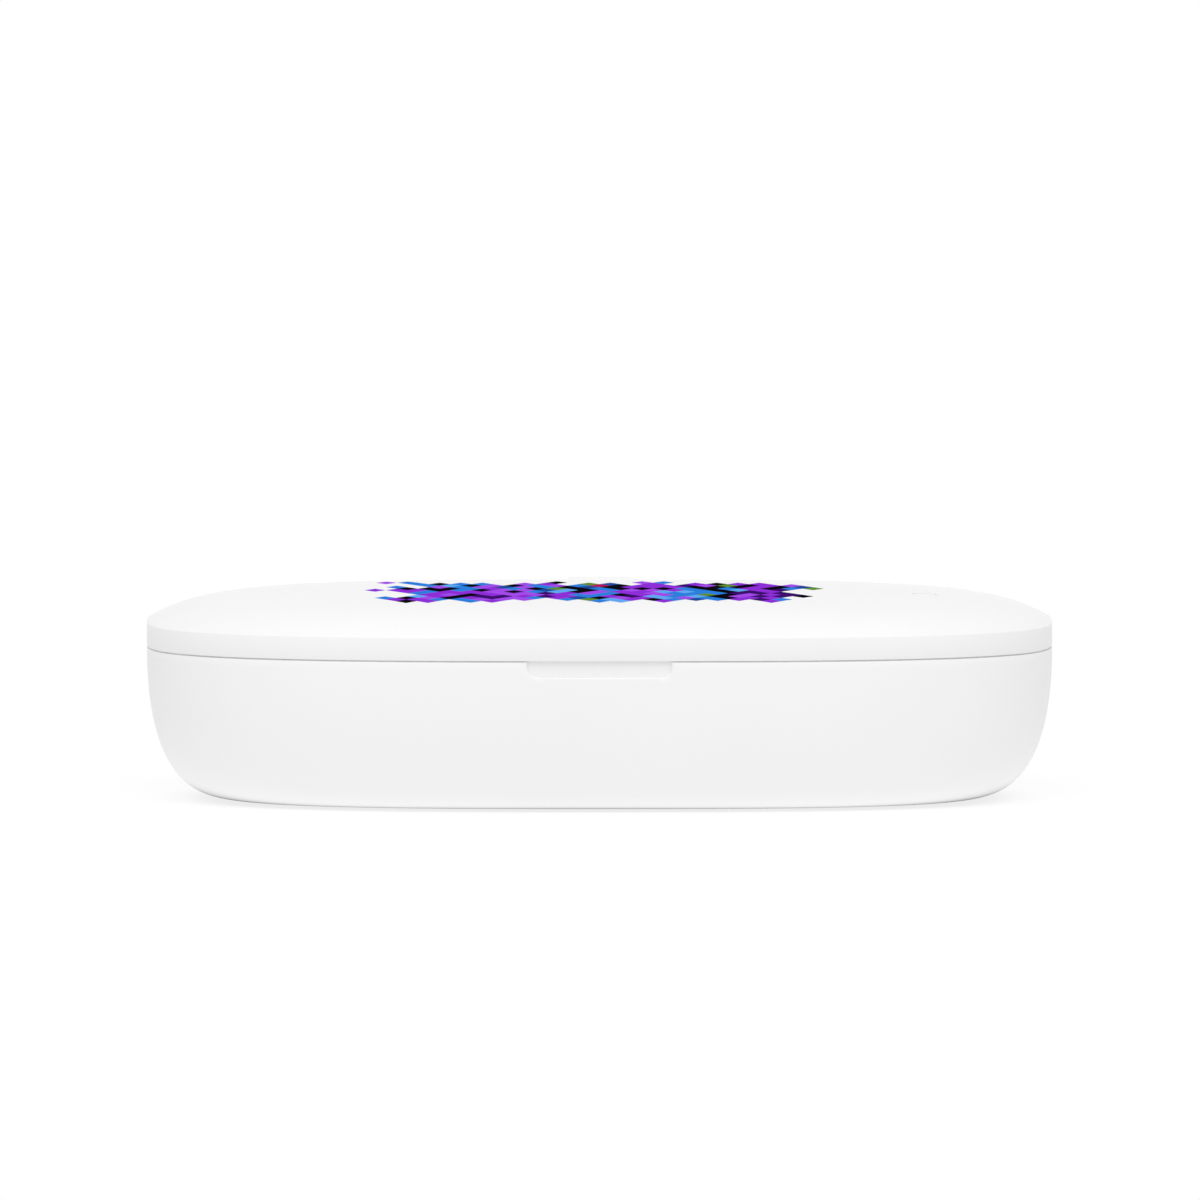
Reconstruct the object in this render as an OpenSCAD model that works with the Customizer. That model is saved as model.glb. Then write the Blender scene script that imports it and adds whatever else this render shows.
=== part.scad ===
// Ultraviolet sanitizer box for a phone. A deep white base holds a mirrored chamber, and a hinged
// lid holds lamps, a charging coil and a power key. All sizes are in millimetres.
// +X is the box's right, the front faces -Y and +Z is up. The origin lies on the surface that
// the box stands on, under the middle of its bounding box.

/* [Outer form] */
// Width of the box over its sides
shell_w = 220; // [205:1:240]
// Depth of the box from front to back, without the hinge
shell_d = 125; // [118:1:140]
// Height of the base from its underside to its rim
base_h = 36.6; // [35:0.2:44]
// Gap that shows as the seam between base and lid
seam_gap = 0.3; // [0.2:0.05:0.6]
// Height of the straight band round the lid
band_h = 5.6; // [5.2:0.1:8]
// Rise of the lid's crown over its band
crown_h = 7; // [6.6:0.1:10]
// How square the outline's corners are, where 2 is an ellipse
outline_power = 3; // [2.8:0.1:4]
// How late the crown starts to fall away towards the band
crown_power = 9.3; // [8:0.1:14]
// How far the sides draw in from the rim to the underside
side_tuck = 27.5; // [20:0.5:29]
// How far the front and back draw in
front_tuck = 19.25; // [14:0.25:20]
// How far below the rim the sides begin to draw in, a higher power being lower
tuck_start = 2.25; // [2:0.05:3]
// How tightly the sides round into the underside
tuck_round = 3.7; // [3:0.1:4.5]

/* [Mouldings] */
// Wall of the two outer mouldings
shell_wall = 2.4; // [2.1:0.1:2.8]
// Floor of the base moulding
shell_floor = 2.4; // [2:0.1:3]
// Wall of the lid's rim, beside the inner panel
lid_rim_wall = 1.6; // [1.2:0.1:1.8]
// Width of the ledge that carries the liner's flange
ledge_w = 1; // [0.8:0.1:1.4]
// Height of the rib under the ledge
ledge_rib_h = 1.5; // [1:0.1:2.5]
// Thickness of the liner and of its flange
liner_t = 2; // [1.8:0.1:2.4]
// How far the liner's flange lies below the rim
flange_sink = 0.8; // [0.6:0.1:1.4]
// Thickness of the lid's inner panel
panel_t = 2; // [1.8:0.1:2.4]
// How far the panel lies above the lid's rim
panel_sink = 0.4; // [0.2:0.1:0.8]
// Gap round a panel or flange that drops into a shell
panel_gap = 0.15; // [0.1:0.05:0.3]

/* [Chamber] */
// Distance from the side of the box to the chamber
side_margin = 16; // [15:0.5:20]
// Distance from the front or back of the box to the chamber
front_margin = 15.5; // [15:0.5:17]
// Height of the chamber's floor over the box's underside
chamber_floor_h = 12.4; // [12:0.1:14]
// How much each chamber wall leans in from mouth to floor
chamber_draft = 4; // [3:0.5:6]
// How square the chamber's corners are
chamber_power = 6; // [5:0.1:7]
// Radius where the chamber's wall meets its floor
chamber_fillet = 3; // [2:0.5:5]
// Thickness of the aluminium reflectors
reflector_t = 0.4; // [0.3:0.1:0.6]
// Glue line under a reflector
glue_line = 0.05; // [0.02:0.01:0.1]
// How far the base's reflector ends below the flange's top
reflector_sink = 2.4; // [2:0.1:4]
// Height of the rack's bars
rest_bar_h = 1.6; // [1.2:0.1:2.4]
// Height of the rack's ribs over its bars
rest_rib_h = 1.4; // [0.8:0.1:2]
// Width of the rack's bars
rest_bar_w = 3; // [2:0.1:4]
// Width of the rack's ribs, of which two flank each lamp
rest_rib_w = 1.4; // [1:0.1:2]
// Gap between the rack and the foot of the chamber's wall
rest_gap = 8; // [7:0.5:12]

/* [Light seal] */
// Width of the silicone seal
seal_w = 1.6; // [1.2:0.1:2]
// Depth of the seal's groove in the flange
seal_groove = 0.6; // [0.4:0.1:0.8]
// Gap round the seal in its groove
seal_slack = 0.05; // [0.02:0.01:0.1]
// Gap left between the seal and the closed lid's panel
seal_gap = 0.3; // [0.25:0.05:0.5]
// Distance from the chamber's mouth to the middle of the seal
seal_offset = 5; // [4.4:0.1:5.2]
// How square the seal's corners are
seal_power = 4.6; // [4.4:0.1:4.8]
// Depth of the panel's lip below its underside
lip_h = 2.4; // [1.5:0.1:2.8]
// Wall of the lip
lip_wall = 1.6; // [1.2:0.1:2]
// Gap between the lip and the chamber's mouth
lip_gap = 0.8; // [0.6:0.1:1.2]
// Gap between the lip and the lid's reflector
lid_reflector_gap = 0.5; // [0.3:0.1:1]

/* [Thumb recess] */
// Width of the recess under the seam
recess_w = 35; // [26:0.5:44]
// Height of the recess
recess_h = 3.75; // [3:0.05:6]
// Depth of the recess into the wall
recess_depth = 1.5; // [0.8:0.1:1.5]
// Radius of the recess's lower corners
recess_corner = 2.75; // [1:0.05:2.9]

/* [Hinge] */
// Distance of the hinge's axis behind the back wall
axis_out = 1; // [0.6:0.1:2]
// Radius of the middle knuckle, which stands on the base
post_r = 6; // [5.6:0.05:6.05]
// Width of the middle knuckle
post_w = 15.4; // [12:0.1:18]
// Height at which the hinge post leaves the back wall
post_foot_h = 21.4; // [17:0.2:26]
// Radius of the lid's knuckles beside the middle one
knuckle_r = 5.55; // [5.2:0.05:5.75]
// Length of each lid knuckle, with its rounded end
knuckle_l = 17.4; // [15:0.1:20]
// Length of each lid knuckle up to its rounded end
knuckle_straight = 8.7; // [8:0.1:10]
// Radius of a lid knuckle where its rounded end begins
knuckle_end_r = 4.75; // [4.4:0.05:5]
// Side gap between the knuckles
knuckle_gap = 0.4; // [0.3:0.05:0.6]
// Gap between the middle knuckle and the pocket in the lid
pocket_gap = 0.4; // [0.3:0.05:0.6]
// Wall of the lid's saddle in front of the pocket
saddle_wall = 2.6; // [1.6:0.1:3]
// How far the saddle reaches past the pocket on each side
saddle_side = 4; // [3:0.1:6]
// Outer radius of the hollow hinge pin
pin_r = 2.6; // [2.3:0.05:2.8]
// Bore radius of the hinge pin
pin_bore_r = 1.7; // [1.5:0.05:1.9]
// How far the hinge pin reaches into each lid knuckle
pin_reach = 8.9; // [7:0.1:10]
// Gap past the end of the hinge pin
pin_end_gap = 0.4; // [0.3:0.1:0.8]
// Running clearance of the lid's knuckles on the pin
pin_clearance = 0.05; // [0.03:0.01:0.08]
// Interference of the pin in the middle knuckle
pin_press = 0.02; // [0.01:0.01:0.04]
// Radius of the lead through the hinge
lead_r = 0.9; // [0.7:0.05:1]
// Radius of the channels that the lead runs in
channel_r = 1.6; // [1.4:0.05:1.8]
// How far past the pin's end the lead turns forward into the lid
lead_turn = 1.2; // [1.1:0.1:1.6]
// Length of the lead's channel from the hinge's axis into the lid
lead_channel_l = 9; // [8.5:0.1:10.5]
// Gap beside the lead's channel in the liner's flange
lead_notch_gap = 1; // [0.6:0.1:1.4]

/* [Power key] */
// Distance of the key from the side of the box
key_from_side = 31; // [29:0.5:36]
// Distance of the key in front of the box's middle
key_forward = 6; // [0:0.5:10]
// Radius of the round key
key_r = 2.8; // [2.4:0.1:3.4]
// Gap round the key, which shows as a ring
key_gap = 0.25; // [0.15:0.05:0.35]
// How far the key's top lies below the crown round it
key_sink = 0.03; // [0:0.01:0.3]
// Width of the flange that retains the key
key_flange_w = 1.1; // [0.8:0.1:1.5]
// Thickness of that flange
key_flange_t = 0.8; // [0.6:0.1:1]
// Gap over the flange at rest
key_flange_gap = 0.1; // [0.05:0.05:0.2]
// How far the flat seat over the flange lies below the wall's inner face
key_seat_drop = 0.1; // [0.05:0.05:0.2]
// Radius of the key's stem
key_stem_r = 1.3; // [1:0.1:1.6]
// Travel of the key
key_travel = 0.5; // [0.3:0.05:0.6]

/* [Lamps] */
// Number of lamps in the base, and in the lid
lamps = 4; // [3:1:4]
// Distance from lamp to lamp
lamp_pitch = 36; // [32:1:38]
// Side of a lamp package
lamp_side = 3.5; // [3:0.1:4]
// Height of a lamp package
lamp_h = 1.2; // [0.9:0.1:1.3]
// Radius of the cup in a lamp package
lamp_cup_r = 1.25; // [1:0.05:1.35]
// Depth of the cup in a lamp package
lamp_cup_depth = 0.5; // [0.3:0.1:0.7]
// Gap between a lamp and its window
lamp_gap = 0.1; // [0.05:0.05:0.3]
// Radius of a quartz window
window_r = 3.95; // [3.6:0.05:4.1]
// Thickness of a quartz window
window_t = 1; // [0.8:0.1:1.2]
// Gap round a window in its seat
window_gap = 0.05; // [0.03:0.01:0.1]
// Width of the ledge under a window
window_ledge = 0.7; // [0.5:0.1:1]
// Width of a lamp board
lamp_board_w = 12; // [10:0.5:14]
// How far a lamp board reaches past its outer lamps
lamp_board_end = 4; // [3:0.5:6]
// Width of the ribs that carry a lamp board
rib_w = 1.2; // [0.8:0.1:1.6]

/* [Boards and parts] */
// Thickness of the lamp boards
lamp_board_t = 1; // [0.8:0.1:1.2]
// Thickness of the main and control boards
board_t = 1.6; // [1.2:0.1:1.8]
// Width of the main board
main_board_w = 80; // [70:1:84]
// Depth of the main board
main_board_d = 34; // [30:1:36]
// Distance of the main board's right edge from the box's middle
main_board_right = 46; // [44:1:50]
// Gap between the main board's rear corner and the wall beside it
main_board_gap = 0.8; // [0.5:0.1:1.2]
// Height of the standoffs under the main board
standoff_h = 3; // [2.4:0.1:3.2]
// Height of the standoffs under the control board
control_standoff_h = 1.9; // [1.7:0.1:2]
// Radius of a standoff
standoff_r = 2.2; // [2:0.1:2.4]
// Distance from a board's edge to its screws
board_screw_inset = 3; // [2.5:0.1:4]
// Width of the control board
control_board_w = 32; // [28:1:34]
// Depth of the control board
control_board_d = 34; // [30:1:38]
// Distance of the key from the control board's outer edge
control_edge = 15; // [12:0.5:16]
// Height of the switch body
switch_h = 1.6; // [1.4:0.1:1.8]
// Side of the switch body
switch_side = 4.5; // [4:0.1:6]
// Radius of the switch plunger
plunger_r = 1; // [0.8:0.05:1.2]
// Height of the plunger over the switch body at rest
plunger_rise = 0.7; // [0.65:0.05:0.8]
// How far the plunger reaches into the switch body at rest
plunger_sunk = 0.3; // [0.2:0.05:0.4]
// Clearance of the plunger in the switch body
plunger_gap = 0.05; // [0.03:0.01:0.1]
// Gap left under the plunger when the key is pressed home
plunger_end_gap = 0.1; // [0.05:0.05:0.2]
// Distance of the charging inlet from the box's middle
inlet_x = 34; // [28:0.5:40]
// Width of the charging inlet's mouth
inlet_w = 8.94; // [8.9:0.01:9]
// Height of the charging inlet's mouth
inlet_h = 3.26; // [3.2:0.01:3.3]
// Length of the charging inlet
inlet_l = 9; // [7.4:0.1:10.5]
// Sheet of the charging inlet
inlet_sheet = 0.3; // [0.2:0.05:0.35]
// Gap between the inlet and its slot
inlet_gap = 0.3; // [0.2:0.05:0.4]
// How far the flat round the inlet reaches past its mouth
inlet_flat = 2; // [1.5:0.1:2.4]
// How far the inlet's mouth lies inside the wall, at the foot of its flat
inlet_recess = 0.4; // [0.2:0.1:0.8]
// Thickness of the pad behind that flat
inlet_pad_t = 2; // [1.6:0.1:2.4]
// How far the pad reaches past the flat
inlet_pad_edge = 1.2; // [0.8:0.1:1.6]
// Width of the contact tongue in the inlet
tongue_w = 6.6; // [6.2:0.1:7]
// Thickness of the tongue
tongue_t = 0.7; // [0.6:0.05:0.8]
// How far the tongue's tip lies behind the inlet's mouth
tongue_back = 1; // [0.6:0.1:1.4]

/* [Parts on the boards] */
// Distance of the main board's row of parts from its rear edge
part_row = 21; // [18:0.5:24]
// Place of the inductor across the box
inductor_x = 18; // [16:0.5:20]
// Radius of the inductor
inductor_r = 3.2; // [2.5:0.1:3.5]
// Place of the first capacitor across the box
can_x = 27; // [25:0.5:28]
// Distance from capacitor to capacitor
can_pitch = 6; // [5:0.5:8]
// Radius of the capacitors
can_r = 2; // [1.5:0.1:2.4]
// Height of the inductor and the capacitors
can_h = 2.4; // [1.6:0.1:2.6]
// Place of the timer chip across the box
timer_x = -14; // [-16:0.5:-12]
// Side of the timer chip
timer_side = 9; // [7:0.5:12]
// Place of the charging chip across the box
charger_x = 4; // [2:0.5:6]
// Width of the charging chip
charger_w = 5; // [4:0.5:6]
// Depth of the charging chip
charger_d = 6; // [4:0.5:8]
// Height of the chips
chip_h = 1.2; // [0.8:0.1:1.6]
// Width of the lead's connector on the main board
main_plug_w = 8; // [6:0.5:10]
// Depth of that connector
main_plug_d = 5; // [4:0.5:6]
// Height of that connector
main_plug_h = 3.4; // [3:0.1:3.6]
// Distance of the connectors from the boards' edges
plug_edge = 1; // [0.6:0.1:1.6]
// Width of the lead's connector on the control board
control_plug_w = 4; // [3:0.5:5]
// Depth of that connector
control_plug_d = 6; // [5:0.5:7]
// Height of that connector
control_plug_h = 2.4; // [2:0.1:2.6]
// Distance of that connector from the control board's rear edge
control_plug_y = 3; // [2:0.5:4]
// Side of the control board's chip
driver_side = 5; // [4:0.5:6]
// Distance of that chip from the control board's left edge
driver_x = 7; // [6:0.5:8]
// Distance of that chip from the control board's front edge
driver_y = 9; // [8:0.5:10]
// Width of the lid sensor
sensor_w = 2; // [1.5:0.5:3]
// Depth of the lid sensor
sensor_d = 3; // [2:0.5:4]
// Height of the control board's chip and of the lid sensor
small_part_h = 1; // [0.8:0.1:1.2]
// Distance of the lid sensor from the control board's left edge
sensor_x = 14; // [13:0.5:15]
// Distance of the lid sensor from the control board's front edge
sensor_y = 4; // [3:0.5:5]

/* [Charging coil] */
// Outer radius of the coil
coil_r = 24; // [20:0.5:26]
// Radius of the coil's hole
coil_hole_r = 10; // [8:0.5:12]
// Thickness of the coil
coil_t = 1.6; // [1.2:0.1:1.8]
// Thickness of the ferrite sheet
ferrite_t = 0.6; // [0.5:0.1:0.8]
// Wall of the coil carrier
carrier_wall = 1.2; // [1:0.1:1.6]
// Top plate of the coil carrier
carrier_top = 0.8; // [0.6:0.1:1]
// Gap round the coil and the ferrite in the carrier
coil_gap = 0.4; // [0.2:0.1:0.8]

/* [Magnets, screws and feet] */
// Radius of a closing magnet
magnet_r = 2.5; // [2:0.1:2.6]
// Height of a closing magnet
magnet_h = 2; // [1.6:0.1:2.4]
// Gap round a magnet in its pocket
magnet_gap = 0.05; // [0.03:0.01:0.15]
// Plastic left between a magnet and the panel's face
magnet_skin = 0.8; // [0.6:0.1:1]
// Distance from magnet to magnet
magnet_pitch = 50; // [40:1:60]
// Wall of the ring that holds a magnet in the base
magnet_wall = 0.8; // [0.6:0.1:1]
// Distance of the feet from the sides
foot_inset_x = 52; // [48:1:56]
// Distance of the feet from the front and back
foot_inset_y = 34.5; // [33.5:0.5:36]
// Radius of a foot
foot_r = 6; // [5:0.1:6.4]
// How far the feet stand below the base
foot_h = 0.6; // [0.4:0.1:1.2]
// Depth of a foot's recess
foot_recess = 1; // [0.8:0.1:1.2]
// Gap round a foot
foot_gap = 0.1; // [0.05:0.05:0.2]
// Shank radius of the case screws
case_screw_r = 1.25; // [1.1:0.05:1.4]
// Head radius of the case screws
case_head_r = 2.6; // [2.4:0.1:2.8]
// Head height of the case screws
case_head_h = 1.8; // [1.5:0.1:2]
// Length of the case screws under the head
case_screw_l = 7; // [6.5:0.1:8]
// Wall between a case screw's head and its post
head_seat = 1.6; // [1.4:0.1:2]
// Radius of the screw posts in the base
base_post_r = 3.6; // [3.4:0.1:4]
// Radius of the screw posts in the lid
lid_post_r = 3; // [2.8:0.1:3.2]
// Shank length of the lid's screws
lid_screw_l = 5; // [4:0.1:5.4]
// Depth of the seats of the lid's screws
lid_head_seat = 1; // [0.8:0.1:1.2]
// How far the heads lie below the panel's face
lid_head_sink = 0.1; // [0.05:0.05:0.3]
// Distance between the lid's screws along the front and back
lid_screw_pitch = 90; // [84:1:100]
// Distance of those screws from the front and back
lid_screw_inset = 6.6; // [6.4:0.1:7]
// Distance of the lid's two end screws from the sides
lid_end_screw_inset = 8.6; // [8.4:0.1:9.4]
// Shank radius of the board screws
board_screw_r = 0.8; // [0.7:0.05:0.9]
// Head radius of the board screws
board_head_r = 1.6; // [1.4:0.1:1.8]
// Head height of the board screws
board_head_h = 0.7; // [0.5:0.1:0.9]
// Gap between a thread and its moulded hole
thread_gap = 0.02; // [0.01:0.01:0.05]
// Gap between a shank and a hole that it passes through
through_gap = 0.2; // [0.1:0.05:0.3]
// How much deeper a case screw's hole runs than its tip
hole_spare = 0.6; // [0.4:0.1:1]
// How far a board screw's hole runs on into the moulding under its boss
board_hole_extra = 1; // [0.6:0.1:1.2]

/* [Hidden] */
$fn = 48;

// Finishes, as plain colours
white_plastic = "#f4f4f4";
liner_plastic = "#e9eaec";
mirror_metal = "#cfd3d8";
clear_plastic = "#dfe8ee";
board_green = "#1f5a3c";
dark_part = "#2a2c30";
steel = "#b9bcc0";
copper = "#b8733a";
rubber_grey = "#c9cbce";
lamp_ceramic = "#e8e2cc";
lead_sleeve = "#3a3c40";

// Points round one ring, rings down a draw-in, rings up the crown, sides of a lead
ring_points = 84;
tuck_rings = 9;
crown_rings = 8;
lead_sides = 8;
// Steps round a knuckle's rounded end
knuckle_steps = 6;
// How far a cutter reaches past what it cuts, and how far one part of a moulding runs into another
spill = 1;
sink = 0.3;
// Share of the crown's radius that is taken as flat, and how closely its rings crowd at the rim
flat_share = 0.45;
ring_crowding = 1.4;
tuck_crowding = 2.6;

// Heights, from the surface that the box stands on
rim_z = foot_h + base_h;
floor_z = foot_h + shell_floor;
lid_z = rim_z + seam_gap;
band_z = lid_z + band_h;
crown_z = band_z + crown_h;
flange_top = rim_z - flange_sink;
ledge_z = flange_top - liner_t;
panel_z = lid_z + panel_sink;
panel_top = panel_z + panel_t;
chamber_z = foot_h + chamber_floor_h;
tub_z = chamber_z - liner_t;
rest_z = chamber_z + glue_line + reflector_t;

// Half sizes of what follows the outline
half_w = shell_w / 2;
half_d = shell_d / 2;
mouth_x = half_w - side_margin;
mouth_y = half_d - front_margin;

// Hinge
axis_y = half_d + axis_out;
axis_z = band_z;
back_y = axis_y + post_r;
pocket_r = post_r + pocket_gap;
saddle_y = axis_y - pocket_r - saddle_wall;
saddle_w = post_w + 2 * knuckle_gap + 2 * saddle_side;
knuckle_x = post_w / 2 + knuckle_gap;
pin_end = knuckle_x + pin_reach;
lead_turn_x = pin_end + lead_turn;
channel_start = [0, axis_y - 5.2, axis_z - 13];

// Power key
key_x = half_w - key_from_side;
key_y = -key_forward;
key_top = crown_height(key_x, key_y, 0) - key_sink;
key_flange_top = crown_height(key_x, key_y, shell_wall) - key_flange_gap - key_seat_drop;
key_flange_r = key_r + key_flange_w;
stem_foot = control_top() + switch_h + plunger_rise;

// Lamps and their boards: the base's look up, the lid's look down
lamp_xs = [for (i = [0:lamps - 1]) (i - (lamps - 1) / 2) * lamp_pitch];
lamp_board_half = (lamps - 1) / 2 * lamp_pitch + lamp_board_end;
rib_h = lamp_h + lamp_gap;
base_lamp_board_top = tub_z - rib_h;
lid_lamp_board_z = panel_top + rib_h;
lamp_screw_xs = [for (side = [-1, 1]) side * (lamps / 2 - 1) * lamp_pitch];

// Main board, with its rear edge kept off the wall
main_board_z = floor_z + standoff_h;
main_board_top = main_board_z + board_t;
main_board_rear = edge_y(main_board_right, inside_half(main_board_z)) - main_board_gap;
inlet_mouth = inlet_rear(inlet_x);
inlet_z = main_board_top + inlet_h / 2;

// Charging coil, in its tray under the crown's flat top
carrier_r = coil_r + coil_gap;
carrier_z = crown_z - shell_wall;
coil_z = carrier_z - carrier_top - coil_t;
ferrite_z = coil_z - ferrite_t;

// Screws and feet
foot_places = [
    for (sx = [-1, 1], sy = [-1, 1]) [sx * (half_w - foot_inset_x), sy * (half_d - foot_inset_y)]
];
case_head_z = foot_h + foot_recess + case_head_h;
boss_top = case_head_z + head_seat;
lid_screw_places = concat(
    [for (sx = [-1, 1], sy = [-1, 1]) [sx * lid_screw_pitch / 2, sy * (half_d - lid_screw_inset)]],
    [for (sx = [-1, 1]) [sx * (half_w - lid_end_screw_inset), 0]]
);
magnet_ring_r = magnet_r + magnet_gap + magnet_wall;
ledge_half = [half_w - shell_wall - ledge_w, half_d - shell_wall - ledge_w];
magnet_y = edge_y(magnet_pitch / 2 + magnet_ring_r, ledge_half) - panel_gap - magnet_ring_r;
magnet_places = [for (sx = [-1, 1]) [sx * magnet_pitch / 2, -magnet_y]];

// ---------------------------------------------------------------- shared functions

function signed_power(v, p) = sign(v) * pow(abs(v), p);

// Points of one ring: [half width, half depth, height, squareness]
function ring(r) = [
    for (i = [0:ring_points - 1])
        let (a = 360 * i / ring_points)
        [r[0] * signed_power(cos(a), 2 / r[3]), r[1] * signed_power(sin(a), 2 / r[3]), r[2]]
];

// Draw-in of the base, 0 at the rim and 1 at the underside, for a share of the depth
function tuck(share) = 1 - pow(max(0, 1 - pow(share, tuck_start)), 1 / tuck_round);

// Half width and half depth of the base's outside at a height
function tucked_half(z) =
    let (t = tuck((rim_z - z) / base_h)) [half_w - side_tuck * t, half_d - front_tuck * t];

// Half width and half depth of the base's inside at a height
function inside_half(z) =
    let (t = tuck((rim_z - z) / (rim_z - floor_z)))
    [half_w - shell_wall - side_tuck * t, half_d - shell_wall - front_tuck * t];

// Distance of the outline from its long axis at x, for a half width and half depth
function edge_y(x, half) =
    half[1] * pow(1 - pow(abs(x) / half[0], outline_power), 1 / outline_power);

// Ring of the base's skin at a share of its depth, moved in by a wall, over a floor at a height
function base_ring(share, wall, bottom) = [
    half_w - wall - side_tuck * tuck(share),
    half_d - wall - front_tuck * tuck(share),
    rim_z - share * (rim_z - bottom),
    outline_power
];

// Height of the crown's skin over a point, moved in by a wall
function crown_height(x, y, wall) =
    let (
        radius = pow(
            pow(abs(x) / (half_w - wall), outline_power) + pow(abs(y) / (half_d - wall), outline_power),
            1 / outline_power
        )
    )
    band_z - wall + crown_h * (1 - pow(radius, crown_power));

// Ring of the crown at a share of its radius
function crown_ring(share, wall) = [
    share * (half_w - wall),
    share * (half_d - wall),
    share <= flat_share ? crown_z - wall : band_z - wall + crown_h * (1 - pow(share, crown_power)),
    outline_power
];

function crown_share(i) = 1 - (1 - flat_share) * pow(i / crown_rings, ring_crowding);

// Rings of the crown from its edge to its flat top
function crown_rings_up(wall) = [for (i = [0:crown_rings]) crown_ring(crown_share(i), wall)];

// Ring of the chamber at a height, moved out or in
function chamber_ring(z, grow) =
    let (lean = chamber_draft * (flange_top - z) / (flange_top - chamber_z))
    [mouth_x - lean + grow, mouth_y - lean + grow, z, chamber_power];

// Rings of the tub's inside from its floor to a height, moved in by a wall
function tub_rings(top, wall) =
    let (halfway = chamber_fillet * (1 - cos(45)))
    [
        chamber_ring(chamber_z + wall, -chamber_fillet - wall),
        chamber_ring(chamber_z + wall + halfway, -halfway - wall),
        chamber_ring(chamber_z + wall + chamber_fillet, -wall),
        chamber_ring(top, -wall)
    ];

function control_top() = panel_top + control_standoff_h + board_t;

// Rear mouth of the charging inlet: just inside the wall's outer face, at the foot of its flat
function inlet_rear(x) = edge_y(x, tucked_half(main_board_top - inlet_flat)) - inlet_recess;

function unit(v) = v / norm(v);

// Point where a line from p touches a circle, on its outer side, all in the Y-Z plane
function touch_point(centre, radius, p) =
    let (
        reach = norm(p - centre),
        lean = atan2(p[1] - centre[1], p[0] - centre[0]) + acos(radius / reach)
    )
    centre + radius * [cos(lean), sin(lean)];

function reversed(list) = [for (i = [len(list) - 1:-1:0]) list[i]];

// ---------------------------------------------------------------- shared modules

// Moves the box from its outline's middle to the middle of its bounding box
module place() {
    translate([0, (half_d - back_y) / 2, 0]) children();
}

// Skin over a stack of rings. Ends are closed by flat caps, or the last ring joins the first
module ring_stack(rings, loop = false) {
    last = len(rings) - 1;
    joins = loop ? last : last - 1;
    points = [for (r = rings) each ring(r)];
    sides = [
        for (k = [0:joins], i = [0:ring_points - 1])
            let (
                j = (i + 1) % ring_points,
                lower = k * ring_points,
                upper = ((k + 1) % (last + 1)) * ring_points
            )
            each [[lower + i, upper + i, upper + j], [lower + i, upper + j, lower + j]]
    ];
    caps = [
        [for (i = [0:ring_points - 1]) i],
        [for (i = [ring_points - 1:-1:0]) last * ring_points + i]
    ];
    polyhedron(points, loop ? sides : concat(sides, caps));
}

// A lead swept along its route
module lead(route, sideways) {
    last = len(route) - 1;
    points = [
        for (k = [0:last])
            let (
                along = unit(route[min(k + 1, last)] - route[max(k - 1, 0)]),
                across = unit(cross(along, sideways)),
                up = cross(along, across)
            )
            for (i = [0:lead_sides - 1])
                let (a = 360 * i / lead_sides)
                route[k] + lead_r * (cos(a) * across + sin(a) * up)
    ];
    sides = [
        for (k = [0:last - 1], i = [0:lead_sides - 1])
            let (j = (i + 1) % lead_sides, lower = k * lead_sides, upper = lower + lead_sides)
            each [[lower + i, upper + i, upper + j], [lower + i, upper + j, lower + j]]
    ];
    caps = [
        [for (i = [0:lead_sides - 1]) i],
        [for (i = [lead_sides - 1:-1:0]) last * lead_sides + i]
    ];
    polyhedron(points, concat(sides, caps));
}

module block(low, high) {
    translate(low) cube(high - low);
}

module at_places(places, z) {
    for (p = places) translate([p[0], p[1], z]) children();
}

// Lays a drawing made in Y and Z across X, between two values of X
module across_x(from, to) {
    translate([from, 0, 0]) rotate([90, 0, 90]) linear_extrude(to - from) children();
}

// A round bar along X on the hinge's axis
module on_axis(from, to, radius) {
    translate([from, axis_y, axis_z]) rotate([0, 90, 0]) cylinder(h = to - from, r = radius);
}

// Cross recess of a screw head, cut down from z = 0
module cross_recess(radius, depth) {
    arm_w = radius * 0.28;
    arm_l = radius * 1.2;
    for (turn = [0, 90])
        rotate(turn) translate([-arm_l / 2, -arm_w / 2, -depth]) cube([arm_l, arm_w, depth + spill]);
}

// Pan-head screw with its head above z = 0 and its shank below
module pan_screw(head_r, head_h, shank_r, shank_l) {
    difference() {
        union() {
            cylinder(h = head_h, r = head_r);
            translate([0, 0, -shank_l]) cylinder(h = shank_l, r = shank_r);
        }
        translate([0, 0, head_h]) cross_recess(head_r, head_h / 2);
    }
}

// ---------------------------------------------------------------- base

module recess_cutter() {
    flat = recess_w / 2 - recess_corner;
    translate([0, recess_depth - half_d, rim_z]) rotate([90, 0, 0]) linear_extrude(recess_depth + spill)
        union() {
            translate([-flat, -recess_h]) square([2 * flat, recess_h + spill]);
            translate([-recess_w / 2, recess_corner - recess_h])
                square([recess_w, recess_h - recess_corner + spill]);
            for (side = [-1, 1]) translate([side * flat, recess_corner - recess_h]) circle(recess_corner);
        }
}

module hinge_post() {
    foot_z = foot_h + post_foot_h;
    root = half_d - shell_wall / 2;
    foot = [tucked_half(foot_z)[1] - sink, foot_z];
    touch = touch_point([axis_y, axis_z], post_r, foot);
    across_x(-post_w / 2, post_w / 2) union() {
        translate([axis_y, axis_z]) circle(post_r);
        polygon([
            [axis_y, axis_z],
            touch,
            foot,
            [foot[0] - spill, foot_z],
            [root, axis_z - post_r],
            [root, axis_z]
        ]);
    }
}

// Channel of the lead, from inside the back wall to the hinge's axis
module lead_channel() {
    rise = [0, axis_y, axis_z] - channel_start;
    tilt = atan2(rise[1], rise[2]);
    translate(channel_start) rotate([-tilt, 0, 0]) translate([0, 0, -spill])
        cylinder(h = norm(rise) + spill, r = channel_r);
}

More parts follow.
